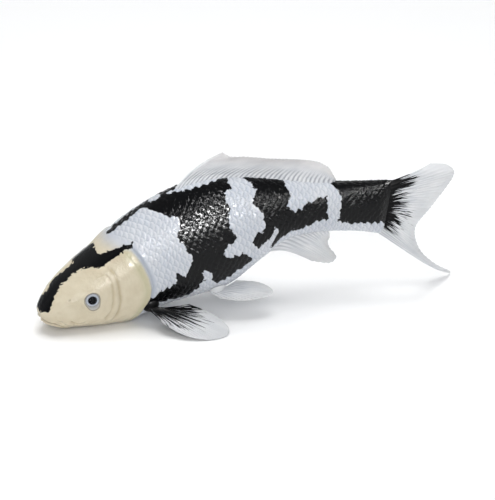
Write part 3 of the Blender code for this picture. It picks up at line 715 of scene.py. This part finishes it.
FIN_THICK = 1.7
FIN_EDGE = 0.75
RAY_RISE = 0.34
RIDGE_FIN_RAY_RISE = 0.32
ROOT_ROWS = 3  # rows of points inside the body
TAIL_RAYS = 19
DORSAL = (  # across, root along, root height, edge along, edge height above the back, sweep
    (0.00, 0.446, 0.0, 0.578, 17.4, -2.0),
    (0.05, 0.462, 0.0, 0.594, 14.6, -1.5),
    (0.15, 0.505, 0.0, 0.625, 14.6, -1.5),
    (0.35, 0.585, 0.0, 0.690, 14.0, -1.5),
    (0.55, 0.665, 0.0, 0.750, 14.5, -1.5),
    (0.75, 0.745, 0.0, 0.798, 13.9, -1.0),
    (0.88, 0.795, 0.0, 0.828, 10.6, -0.5),
    (0.96, 0.830, 0.0, 0.842, 5.5, 0.0),
    (1.00, 0.848, 0.0, 0.850, 2.0, 0.0),
)
ANAL = (
    (0.00, 0.628, 0.0, 0.790, 22.4, -0.5),
    (0.25, 0.690, 0.0, 0.845, 24.0, -0.5),
    (0.42, 0.735, 0.0, 0.866, 20.0, 0.0),
    (0.60, 0.770, 0.0, 0.846, 14.5, 0.0),
    (0.80, 0.805, 0.0, 0.838, 9.0, 0.0),
    (0.92, 0.825, 0.0, 0.842, 6.0, 0.0),
    (1.00, 0.835, 0.0, 0.838, 2.2, 0.0),
)
TAIL = (  # across from the lower lobe, root along, root up, edge along, edge up, sweep
    (0.00, 0.985, -0.200, 1.250, -0.640, 0.0),
    (0.06, 0.987, -0.180, 1.243, -0.610, 0.0),
    (0.14, 0.990, -0.150, 1.200, -0.550, 0.0),
    (0.24, 0.994, -0.110, 1.140, -0.410, 0.0),
    (0.34, 0.997, -0.070, 1.104, -0.260, 0.0),
    (0.45, 1.000, -0.020, 1.092, -0.120, 0.0),
    (0.58, 1.000, 0.040, 1.115, 0.030, 0.0),
    (0.72, 0.997, 0.110, 1.143, 0.190, 0.0),
    (0.84, 0.992, 0.165, 1.166, 0.330, 0.0),
    (0.91, 0.989, 0.200, 1.164, 0.385, 0.0),
    (0.96, 0.987, 0.225, 1.140, 0.418, 0.0),
    (1.00, 0.985, 0.245, 1.100, 0.408, 0.0),
)
LOBE_SETTLE = {0.00: 1.0, 0.06: 0.95, 0.14: 0.7, 0.24: 0.3}  # shares of the drop to the table
LOWER_LOBE_CUP = 0.010  # how the lobes bow to the right, in millimetres per square millimetre
UPPER_LOBE_CUP = 0.006


def fan(rays, columns, rows, root_rows=0, sunk=0.0):
    """Place along and up of every point of a fin, with its share across and out. The first
    root_rows rows lie inside the body, down to sunk below the root."""
    across = np.linspace(0, 1, columns)
    out = np.concatenate([np.linspace(-sunk, 0, root_rows, endpoint=False), np.linspace(0, 1, rows)])
    out, across = np.meshgrid(out, across, indexing="ij")
    rx, ry, ex, ey, sweep = np.moveaxis(smooth(rays, across), -1, 0)
    bow = sweep * np.sin(np.pi * np.clip(out, 0, 1))
    return rx + (ex - rx) * out + bow, ry + (ey - ry) * out, out, across


def ray_relief(out, across, rays):
    """Height of the rays, from 0 between them to 1 on them; each forks halfway out."""
    whole = 0.5 + 0.5 * np.cos(2 * np.pi * rays * across)
    forked = 0.5 + 0.5 * np.cos(4 * np.pi * rays * across)
    fork = ease(0.35, 0.6, out)
    return whole**1.5 * (1 - fork) + forked**1.5 * fork


def fin_blade(name, middle, thickness, shades, body):
    """A closed thin solid about a grid of points, with a thickness at each."""
    rows, columns = thickness.shape
    normal = unit(np.cross(np.gradient(middle, axis=0), np.gradient(middle, axis=1)))
    half = thickness[..., None] / 2
    points = np.concatenate([middle + normal * half, middle - normal * half]).reshape(-1, 3)
    count = rows * columns
    front, back = grid_faces(rows, columns), grid_faces(rows, columns, count)[:, ::-1]
    whole = np.arange(count).reshape(rows, columns)
    rim = np.concatenate([whole[0, :-1], whole[:-1, -1], whole[-1, :0:-1], whole[:0:-1, 0]])
    after = np.roll(rim, -1)
    edge = np.stack([rim, rim + count, after + count, after], -1)
    faces = np.vstack([front, back, edge])
    shades = {k: np.concatenate([v, v]) for k, v in shades.items()}
    return build_piece(name, points, faces, shades, body)


def rounded_edge(out, across, width):
    """1 inside a fin and less towards its three free edges, as a rounded rim."""
    side = np.minimum(across, 1 - across) / width
    end = (1 - out) / width
    return np.sqrt(np.clip(1 - (1 - np.clip(np.minimum(side, end), 0, 1)) ** 2, 0.02, 1))


def plate_thickness(out, ray, ray_rise, flesh):
    """Thinner from the root to the edge, with the rays and the root's flesh standing on it."""
    return FIN_THICK + (FIN_EDGE - FIN_THICK) * np.clip(out, 0, 1) + flesh + ray_rise * (ray - 0.5)


def fin_shades(out, across, ray, middle):
    """The ray pattern's values: places on the fan, and how far out from the root, in mm."""
    run = np.linalg.norm(np.diff(middle, axis=0), axis=-1)
    from_root = np.vstack([np.zeros(run.shape[1]), np.cumsum(run, axis=0)])
    from_root = from_root - from_root[np.argmin(np.abs(out[:, 0]))]
    return {
        "from_root": from_root.ravel(),
        "fan": np.stack([across, out, np.zeros(out.shape)], -1).reshape(-1, 3),
        "ray": ray.ravel(),
        "out": out.ravel(),
        "across": across.ravel(),
    }


# The third colour is painted shade for the grooves between the fin rays.
FIN_WHITE, FIN_CLEAR, FIN_GROOVE_SHADE = (0.64, 0.655, 0.68), (0.76, 0.765, 0.775), (0.33, 0.345, 0.38)


def fin_plastic(name, groove_shade_depth, edge_colour, strokes=None):
    """Milky PVC whose fine ray lines are painted shade in the grooves between the rays; strokes, if
    given, makes the black brushing's mask.
    """
    milk = Finish(
        name,
        Roughness=0.38,
        Specular_IOR_Level=0.08,
        Coat_Weight=0.15,
        Coat_Roughness=0.10,
        Coat_IOR=1.2,
        Subsurface_Weight=0.25,
        Subsurface_Scale=0.003,
        Subsurface_Radius=(1.0, 1.0, 1.0),
        IOR=1.45,
    )
    fan_at = milk.place_in("fan")
    ray, out = milk.shade("ray"), milk.shade("out")
    streak = milk.noise(milk.stretch(fan_at, (60.0, 2.2, 1.0)), 1.0, 4.0, 0.6)
    soft = milk.noise(milk.stretch(fan_at, (7.0, 3.0, 1.0)), 1.0, 3.0)
    colour = milk.blend(milk.step(soft, 0.3, 0.7), FIN_WHITE, FIN_CLEAR)
    colour = milk.blend(milk.step(out, 0.45, 1.0) * 0.5, colour, edge_colour)
    # painted shade: darker in the grooves between the rays, fading out towards the edge
    ray_groove_shade = milk.step(ray, 0.55, 0.05) * milk.step(streak, 0.25, 0.55) * milk.step(out, 0.85, 0.1)
    colour = milk.blend(ray_groove_shade * groove_shade_depth, colour, FIN_GROOVE_SHADE)
    alpha = milk.step(out, 0.35, 1.0, 0.98, 0.80)
    if strokes:
        brushed = strokes(milk, fan_at, out)
        colour = milk.blend(brushed, colour, BLACK)
        alpha = milk.node("Math", {"operation": "MAXIMUM"}, {0: alpha, 1: brushed})
    return milk.paint(Base_Color=colour, Normal=milk.bump(streak, 0.00012, 0.6), Alpha=alpha)


def tail_strokes(milk, fan_at, out):
    """Black from the root, breaking into strokes of uneven length along the rays."""
    across = milk.shade("across")
    band = milk.step(across, 0.14, 0.22)
    fine = milk.noise(milk.stretch(fan_at, (80.0, 2.0, 1.0)), 1.0, 3.0, 0.6)
    broad = milk.noise(milk.stretch(fan_at, (13.0, 1.2, 1.0)), 1.0, 2.0)
    reach = (fine - 0.5) * 52.0 + (broad - 0.5) * 24.0
    longer = milk.step(across, 0.70, 1.0) * 7.0
    return milk.step(reach + longer - milk.shade("from_root") + 10.0, -1.0, 2.0) * band


TAIL_PLASTIC = fin_plastic("tail_plastic", 0.7, (0.70, 0.71, 0.73), tail_strokes)
BACK_PLASTIC = fin_plastic("dorsal_plastic", 0.9, (0.74, 0.70, 0.69))
BELLY_PLASTIC = fin_plastic("belly_fin_plastic", 0.7, (0.66, 0.66, 0.66))


def in_millimetres(rays, depth):
    return [
        (row[0], row[1] * BODY_LENGTH, row[2] * depth, row[3] * BODY_LENGTH, row[4] * depth, row[5])
        for row in rays
    ]


def ridge_fin(name, rays, upward, wave, count, plastic):
    """A fin along the back (upward 1) or the belly (-1)."""
    along, height, out, across = fan(in_millimetres(rays, 1.0), 260, 60, ROOT_ROWS, 0.16)
    level = form_at(along)[0 if upward > 0 else 1]
    ray = ray_relief(out, across, count)
    tip = 0.5 * (0.5 - 0.5 * np.cos(2 * np.pi * count * across)) * ease(0.7, 1, out)
    lean = wave * out * np.sin(2.2 * np.pi * across)
    middle = place(along, lean, upward * (level + height - tip))
    thickness = plate_thickness(out, ray, RIDGE_FIN_RAY_RISE, 3.2 * ease(0.22, -0.05, out))
    thickness *= rounded_edge(np.where(out > 0.5, out, 0), across, 0.02)
    shades = fin_shades(out, across, ray, middle)
    piece = fin_blade(name + "_blade", middle, thickness, shades, "body")
    piece.data.materials.append(plastic)
    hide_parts(name)


ridge_fin("dorsal_fin", DORSAL, 1, 1.2, 34, BACK_PLASTIC)
ridge_fin("anal_fin", ANAL, -1, 1.0, 13, BELLY_PLASTIC)


def tail_fin():
    rays = in_millimetres(TAIL, BODY_DEPTH)
    tip = place(rays[0][3], -LOWER_LOBE_CUP * rays[0][4] ** 2, rays[0][4])
    short = tip[2] - STAND_LEVEL - FIN_EDGE / 2
    rays = [(*row[:4], row[4] - short * LOBE_SETTLE.get(row[0], 0.0), row[5]) for row in rays]
    along, up, out, across = fan(rays, 300, 90, ROOT_ROWS, 0.06)
    ray = ray_relief(out, across, TAIL_RAYS)
    cup = np.where(up < 0, LOWER_LOBE_CUP, UPPER_LOBE_CUP)
    fray = 0.3 * (0.5 - 0.5 * np.cos(4 * np.pi * TAIL_RAYS * across)) * ease(0.85, 1, out)
    middle = place(along - fray, -cup * up * up * np.clip(out, 0, 1) ** 2, up)
    edge_half = form_at(BODY_LENGTH)[2]
    section = np.sqrt(np.clip(1 - (2 * across - 1) ** 2, 0.05, 1))
    flesh = 0.9 * edge_half * section * ease(0.30, -0.02, out)
    thickness = plate_thickness(out, ray, RAY_RISE, flesh)
    thickness *= rounded_edge(out, across, 0.015)
    shades = fin_shades(out, across, ray, middle)
    piece = fin_blade("tail_fin_blade", middle, thickness, shades, "body")
    piece.data.materials.append(TAIL_PLASTIC)
    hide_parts("tail_fin")


tail_fin()

# ------------------------------------------------------------------------ pectoral and pelvic fins
# Four plug-in fins of the same milky PVC. Each has a round knuckle over a neck that turns in a
# hole in the shell, and a fan-shaped blade; the pectorals lie with their edges on the table and
# carry black brush strokes from the knuckle.

CLEARANCE = 0.3
NECK_RADIUS = 2.6
NECK_SUNK = 1.2
KNUCKLE_RADIUS = 5.4
KNUCKLE_HEIGHT = 3.4
KNUCKLE_FILLET = 0.3
KNUCKLE_ROUND = 1.5  # 1 makes the knuckle a full dome, more slopes it in from its rim
KNUCKLE_SHADES = {"from_root": 0.0, "ray": 0.8, "out": 0.02, "across": 0.5}  # its place on the fan
ROOT_FLESH = 1.6
RESTING_DROOP = (-30.0, 40.0)  # degrees between which a blade comes to rest on the table
PECTORAL = {
    "along": 0.280,
    "angle": 126.0,
    "outward": 30.0,
    "tilt": 18.0,
    "rests": True,
    "droop": 0.0,
    "count": 13,
    "rays": (  # across from the outer edge, root x, y, edge x, y, sweep
        (0.00, -4.6, -1.2, 10.0, -10.0, 1.0),
        (0.12, -3.4, -1.2, 24.0, -13.5, 1.0),
        (0.28, -1.6, -0.8, 38.0, -11.5, 0.5),
        (0.45, 0.4, -0.4, 48.0, -5.0, 0.0),
        (0.60, 1.8, 0.0, 50.5, 1.5, 0.0),
        (0.75, 3.0, 0.3, 47.0, 7.0, 0.0),
        (0.90, 4.2, 0.7, 36.0, 12.0, 0.0),
        (1.00, 4.6, 1.4, 21.0, 13.4, 0.0),
    ),
}
PELVIC = {
    "along": 0.478,
    "angle": 147.0,
    "outward": 16.0,
    "tilt": 19.0,
    "rests": False,
    "droop": 2.0,
    "count": 9,
    "rays": (
        (0.00, -4.6, -1.6, 2.0, -6.6, 0.0),
        (0.15, -3.4, -1.4, 15.0, -7.0, 0.0),
        (0.35, -1.2, -0.6, 26.0, -3.8, 0.0),
        (0.50, 0.8, 0.0, 34.0, 1.0, 0.0),
        (0.65, 2.2, 0.6, 34.0, 6.0, 0.0),
        (0.85, 3.8, 2.0, 25.0, 10.8, 0.0),
        (1.00, 4.6, 3.4, 11.0, 11.0, 0.0),
    ),
}


def pectoral_strokes(milk, fan_at, out):
    """Strokes that start solid at the knuckle and thin out two thirds of the way."""
    fine = milk.noise(milk.stretch(fan_at, (52.0, 2.4, 1.0)), 1.0, 4.0, 0.6)
    broad = milk.noise(milk.stretch(fan_at, (9.0, 1.3, 1.0)), 1.0, 2.0)
    reach = (fine - 0.5) * 88.0 + (broad - 0.5) * 22.0
    longer = milk.step(milk.shade("across"), 0.0, 0.4) * 9.0
    return milk.step(reach + longer - milk.shade("from_root") + 15.0, -2.0, 2.0)


PECTORAL_PLASTIC = fin_plastic("pectoral_plastic", 0.6, (0.68, 0.69, 0.71), pectoral_strokes)


def blade_grid(form, side, droop, grid):
    """The middle surface of a paired fin's blade at a droop in radians."""
    along = form["along"] * BODY_LENGTH
    root, normal = skin(along, form["angle"], side), skin_normal(along, form["angle"], side)
    heading = unit((place(along + 0.5, 0, 0) - place(along - 0.5, 0, 0)) * (1, 1, 0))
    outward = np.cross(heading, (0, 0, 1)) * side
    turn = math.radians(form["outward"])
    level = heading * math.cos(turn) + outward * math.sin(turn)
    start = root + normal * (CLEARANCE + KNUCKLE_HEIGHT * 0.6)
    length_way = level * math.cos(droop) - np.array((0, 0, math.sin(droop)))
    flat_out = unit(np.cross(length_way, (0, 0, 1)) * side)
    up_way = np.cross(flat_out, length_way) * side
    tilt = math.radians(form["tilt"])
    chord_out = flat_out * math.cos(tilt) - up_way * math.sin(tilt)
    x, y, out, across = grid
    crown = 2.0 * np.sin(np.pi * across) * out * (1 - out) * 2
    return start + x[..., None] * length_way - y[..., None] * chord_out + crown[..., None] * up_way


def spin(centre, axis, reference, profile, steps):
    """Points and faces of (radius, height) pairs turned about an axis."""
    one = unit(np.cross(axis, reference))
    two = np.cross(axis, one)
    radius, height = np.array(profile).T
    turn = np.linspace(0, 2 * np.pi, steps, endpoint=False)
    ring = np.cos(turn)[:, None] * one + np.sin(turn)[:, None] * two
    points = centre + radius[:, None, None] * ring + (height[:, None] * axis)[:, None]
    i, j = np.meshgrid(np.arange(len(profile) - 1), np.arange(steps), indexing="ij")
    i, j = i.ravel() * steps, j.ravel()
    after = (j + 1) % steps
    return points.reshape(-1, 3), np.stack([i + j, i + after, i + steps + after, i + steps + j], -1)


def knuckle(form, side):
    """The round root over the neck."""
    along = form["along"] * BODY_LENGTH
    profile = [(0.0, -NECK_SUNK), (NECK_RADIUS, -NECK_SUNK), (NECK_RADIUS, CLEARANCE)]
    profile.append((KNUCKLE_RADIUS * 0.96, CLEARANCE))
    for turn in np.linspace(0, math.pi / 2, 9):
        radius = KNUCKLE_FILLET + (KNUCKLE_RADIUS - KNUCKLE_FILLET) * math.cos(turn)
        rise = (KNUCKLE_HEIGHT - KNUCKLE_FILLET) * math.sin(turn) ** KNUCKLE_ROUND
        profile.append((radius, CLEARANCE + KNUCKLE_FILLET + rise))
    profile.append((0.0, CLEARANCE + KNUCKLE_HEIGHT))
    root, axis = skin(along, form["angle"], side), skin_normal(along, form["angle"], side)
    return spin(root, axis, (1.0, 0.0, 0.0), profile, 48)


def paired_fin(name, form, side, body, plastic):
    grid = fan(form["rays"], 170, 90)
    droop = math.radians(form["droop"])
    if form["rests"]:
        low, high = np.radians(RESTING_DROOP)
        for _ in range(20):
            droop = (low + high) / 2
            lowest = blade_grid(form, side, droop, grid)[..., 2].min()
            if lowest - FIN_EDGE / 2 > STAND_LEVEL:
                low = droop
            else:
                high = droop
    middle = blade_grid(form, side, droop, grid)
    out, across = grid[2], grid[3]
    ray = ray_relief(out, across, form["count"])
    thickness = plate_thickness(out, ray, RAY_RISE, ROOT_FLESH * ease(0.16, 0.0, out))
    thickness *= rounded_edge(out, across, 0.02)
    shades = fin_shades(out, across, ray, middle)
    piece = fin_blade(name + "_blade", middle, thickness, shades, body)
    points, faces = knuckle(form, side)
    count = len(points)
    shades = {name: np.full(count, value) for name, value in KNUCKLE_SHADES.items()}
    shades["fan"] = np.repeat([[KNUCKLE_SHADES["across"], KNUCKLE_SHADES["out"], 0.0]], count, 0)
    root = build_piece(name + "_knuckle", points, faces, shades, body)
    for made in (piece, root):
        made.data.materials.append(plastic)
    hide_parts(name)


for side_name, side in SIDES:
    paired_fin(side_name + "_pectoral_fin", PECTORAL, side, side_name + "_pectoral", PECTORAL_PLASTIC)
    paired_fin(side_name + "_pelvic_fin", PELVIC, side, side_name + "_pelvic", BELLY_PLASTIC)

# ------------------------------------------------------------------------ eyes
# Each eye is a silver-white bead pressed into a socket in the head, with a black pupil and a
# thin dark rim painted on it, under a clear domed cap.

EYE_RADIUS = 4.2
PUPIL_RADIUS = 2.8
PUPIL_BLUR = 0.12
BEAD_SUNK = 2.0
BEAD_EDGE = 0.12
BEAD_CROWN = 0.30
CAP_LIFT = 0.62  # the cap's rim over the bead's
CAP_LIP = 0.10
CAP_INSET = 0.05
DOME_RISE = 1.3
EYE_STEPS = 64
IRIS_GREY, IRIS_PALE = (0.60, 0.64, 0.72), (0.86, 0.88, 0.92)
IRIS_INNER, IRIS_RIM = (0.28, 0.33, 0.46), (0.16, 0.17, 0.20)
PUPIL_BLACK = (0.004, 0.004, 0.006)


def turned(name, side, profile):
    """A mesh turned about the eye's axis, with each point's distance from it and place round it."""
    axis = skin_normal(EYE_ALONG, EYE_ANGLE, side)
    centre = skin(EYE_ALONG, EYE_ANGLE, side)
    points, faces = spin(centre, axis, (0.0, 0.0, 1.0), profile, EYE_STEPS)
    radius = np.array(profile)[:, :1]
    turn = np.linspace(0, 2 * np.pi, EYE_STEPS, endpoint=False)
    disc = np.stack([radius * np.cos(turn), radius * np.sin(turn), 0 * radius * turn], -1)
    shades = {"from_axis": np.repeat(radius[:, 0], EYE_STEPS), "disc": disc.reshape(-1, 3)}
    return build_piece(name, points, faces, shades, "body")


def eye_paint():
    pearl = Finish(
        "eye_pearl",
        Roughness=0.22,
        Coat_Weight=0.15,
        Coat_Roughness=0.03,
        Specular_IOR_Level=0.02,
    )
    out = pearl.shade("from_axis")
    fleck = pearl.noise(pearl.place_in("disc"), 1.6, 4.0)
    iris = pearl.blend(pearl.step(fleck, 0.3, 0.7), IRIS_GREY, IRIS_PALE)
    iris = pearl.blend(pearl.step(out, 3.5, 2.7) * 0.7, iris, IRIS_INNER)
    iris = pearl.blend(pearl.step(out, 3.9, 4.15) * 0.8, iris, IRIS_RIM)
    pupil = pearl.step(out, PUPIL_RADIUS + PUPIL_BLUR, PUPIL_RADIUS - PUPIL_BLUR)
    return pearl.paint(
        Base_Color=pearl.blend(pupil, iris, PUPIL_BLACK),
        Roughness=pearl.step(fleck, 0.2, 0.8, 0.15, 0.3),
    )


def dome_plastic():
    clear = Finish("clear_cap", Roughness=0.03, IOR=1.40, Specular_IOR_Level=0.4)
    edge = clear.node("LayerWeight", {}, {"Blend": 0.35}, "Facing")
    haze = clear.noise(clear.place_in("disc"), 0.8, 2.0)
    tint = clear.blend(haze, (0.02, 0.02, 0.02), (0.03, 0.03, 0.03))
    return clear.paint(Base_Color=tint, Alpha=edge * 0.25 + 0.08)


EYE_PAINT, DOME_PLASTIC = eye_paint(), dome_plastic()
BEAD_PROFILE = [(0.0, -BEAD_SUNK), (EYE_RADIUS, -BEAD_SUNK), (EYE_RADIUS, EYE_PROUD - BEAD_EDGE)]
BEAD_PROFILE += [
    (EYE_RADIUS * t, EYE_PROUD + BEAD_CROWN * (1 - t * t)) for t in np.linspace(0, 0.97, 20)[::-1]
]
CAP_RIM = EYE_PROUD + CAP_LIFT
CAP_PROFILE = [(0.0, CAP_RIM - CAP_LIP), (EYE_RADIUS - CAP_INSET, CAP_RIM - CAP_LIP)]
CAP_PROFILE += [
    (EYE_RADIUS * math.sin(turn), CAP_RIM + DOME_RISE * math.cos(turn))
    for turn in np.linspace(math.pi / 2, 0, 16)
]
for side_name, side in SIDES:
    bead = turned(side_name + "_eye_bead", side, BEAD_PROFILE)
    bead.data.materials.append(EYE_PAINT)
    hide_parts(side_name + "_eye")
    cap = turned(side_name + "_eye_cap", side, CAP_PROFILE)
    cap.data.materials.append(DOME_PLASTIC)
    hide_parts(side_name + "_eye_lens")

# ------------------------------------------------------------------------ table, lights and camera
# The figure stands on a plain white table. Two large soft boxes light it without showing in its
# gloss, and a smaller one behind gives it a rim of light. Four small strips light nothing and only
# show in the gloss, as the bright glints on the scales and the head.

TABLE_REACH = 3.0  # metres, as are the boxes' places and sizes
SOFT_BOXES = (  # name, place, aim, width and height, watts, lights surfaces, shows in gloss
    ("overhead_box", (-0.10, 0.0, 1.7), (0, 0, 0.04), (1.2, 1.0), 19.0, True, False),
    ("front_box", (-0.55, -1.7, 1.1), (-0.02, 0, 0.04), (1.4, 1.0), 13.0, True, False),
    ("rim_box", (0.7, 0.9, 1.1), (0, 0, 0.04), (0.5, 0.4), 2.5, True, True),
    ("shoulder_strip", (-0.02, -1.22, 0.55), (-0.02, 0, 0.05), (0.20, 0.16), 20.0, False, True),
    ("flank_strip", (0.72, -0.92, 0.62), (0.03, 0, 0.05), (0.16, 0.14), 9.0, False, True),
    ("head_strip", (-0.34, -1.18, 0.50), (-0.1, 0, 0.03), (0.18, 0.14), 18.0, False, True),
    ("back_strip", (-0.10, -0.75, 1.10), (0.0, 0, 0.05), (0.20, 0.12), 6.0, False, True),
)
ROOM_WHITE, ROOM_LIGHT = (0.96, 0.98, 1.0, 1.0), 0.40


def floor():
    mesh = bpy.data.meshes.new("table_top")
    square = ((-1, -1), (1, -1), (1, 1), (-1, 1))
    corners = [(x * TABLE_REACH, y * TABLE_REACH, 0) for x, y in square]
    mesh.from_pydata(corners, [], [(0, 1, 2, 3)])
    top = bpy.data.objects.new("table_top", mesh)
    bpy.context.scene.collection.objects.link(top)
    card = Finish("white_card", Roughness=0.9, Specular_IOR_Level=0.1)
    tone = card.noise(card.node("TexCoord", {}, {}, "Object"), 3.0, 2.0)
    white = card.blend(tone, (0.93, 0.93, 0.93), (0.95, 0.95, 0.95))
    mesh.materials.append(card.paint(Base_Color=white))


floor()
for name, spot, aim, size, watts, lights_surfaces, shows_in_gloss in SOFT_BOXES:
    lamp = bpy.data.lights.new(name, "AREA")
    lamp.shape = "RECTANGLE"
    lamp.size, lamp.size_y = size
    lamp.energy = watts
    holder = bpy.data.objects.new(name, lamp)
    bpy.context.scene.collection.objects.link(holder)
    holder.location = spot
    holder.rotation_euler = (Vector(aim) - Vector(spot)).to_track_quat("-Z", "Y").to_euler()
    holder.visible_diffuse, holder.visible_glossy = lights_surfaces, shows_in_gloss

world = bpy.data.worlds.new("white_room")
world.use_nodes = True
world.node_tree.nodes["Background"].inputs["Color"].default_value = ROOM_WHITE
world.node_tree.nodes["Background"].inputs["Strength"].default_value = ROOM_LIGHT
bpy.context.scene.world = world
bpy.context.scene.view_settings.view_transform = "Standard"
bpy.context.scene.view_settings.look = "None"

VIEW_RANGE = 1200.0  # millimetres from the snout
STAND_TURN, STAND_LIFT = -14.0, 27.0  # where the camera stands, as seen from the snout
VIEW_TURN, VIEW_LIFT, VIEW_ROLL = -20.78, 24.92, 2.94  # and where it looks


def view_axes(turn, lift):
    """Right, into and up directions of a level view."""
    turn, lift = math.radians(turn), math.radians(lift)
    right = np.array((math.cos(turn), math.sin(turn), 0.0))
    away = np.array((-math.sin(turn), math.cos(turn), 0.0))
    up = np.array((0.0, 0.0, 1.0))
    into = away * math.cos(lift) - up * math.sin(lift)
    return right, into, away * math.sin(lift) + up * math.cos(lift)


camera = bpy.data.cameras.new("camera")
camera.lens = 138.4
camera.sensor_width = 36.0
camera_holder = bpy.data.objects.new("camera", camera)
bpy.context.scene.collection.objects.link(camera_holder)
camera_holder.location = DATUM - VIEW_RANGE * MM * view_axes(STAND_TURN, STAND_LIFT)[1]
right, into, screen_up = view_axes(VIEW_TURN, VIEW_LIFT)
roll = math.radians(VIEW_ROLL)
across_view = right * math.cos(roll) + screen_up * math.sin(roll)
up_view = screen_up * math.cos(roll) - right * math.sin(roll)
camera_holder.rotation_euler = Matrix(np.stack([across_view, up_view, -into], 1)).to_euler()
bpy.context.scene.camera = camera_holder
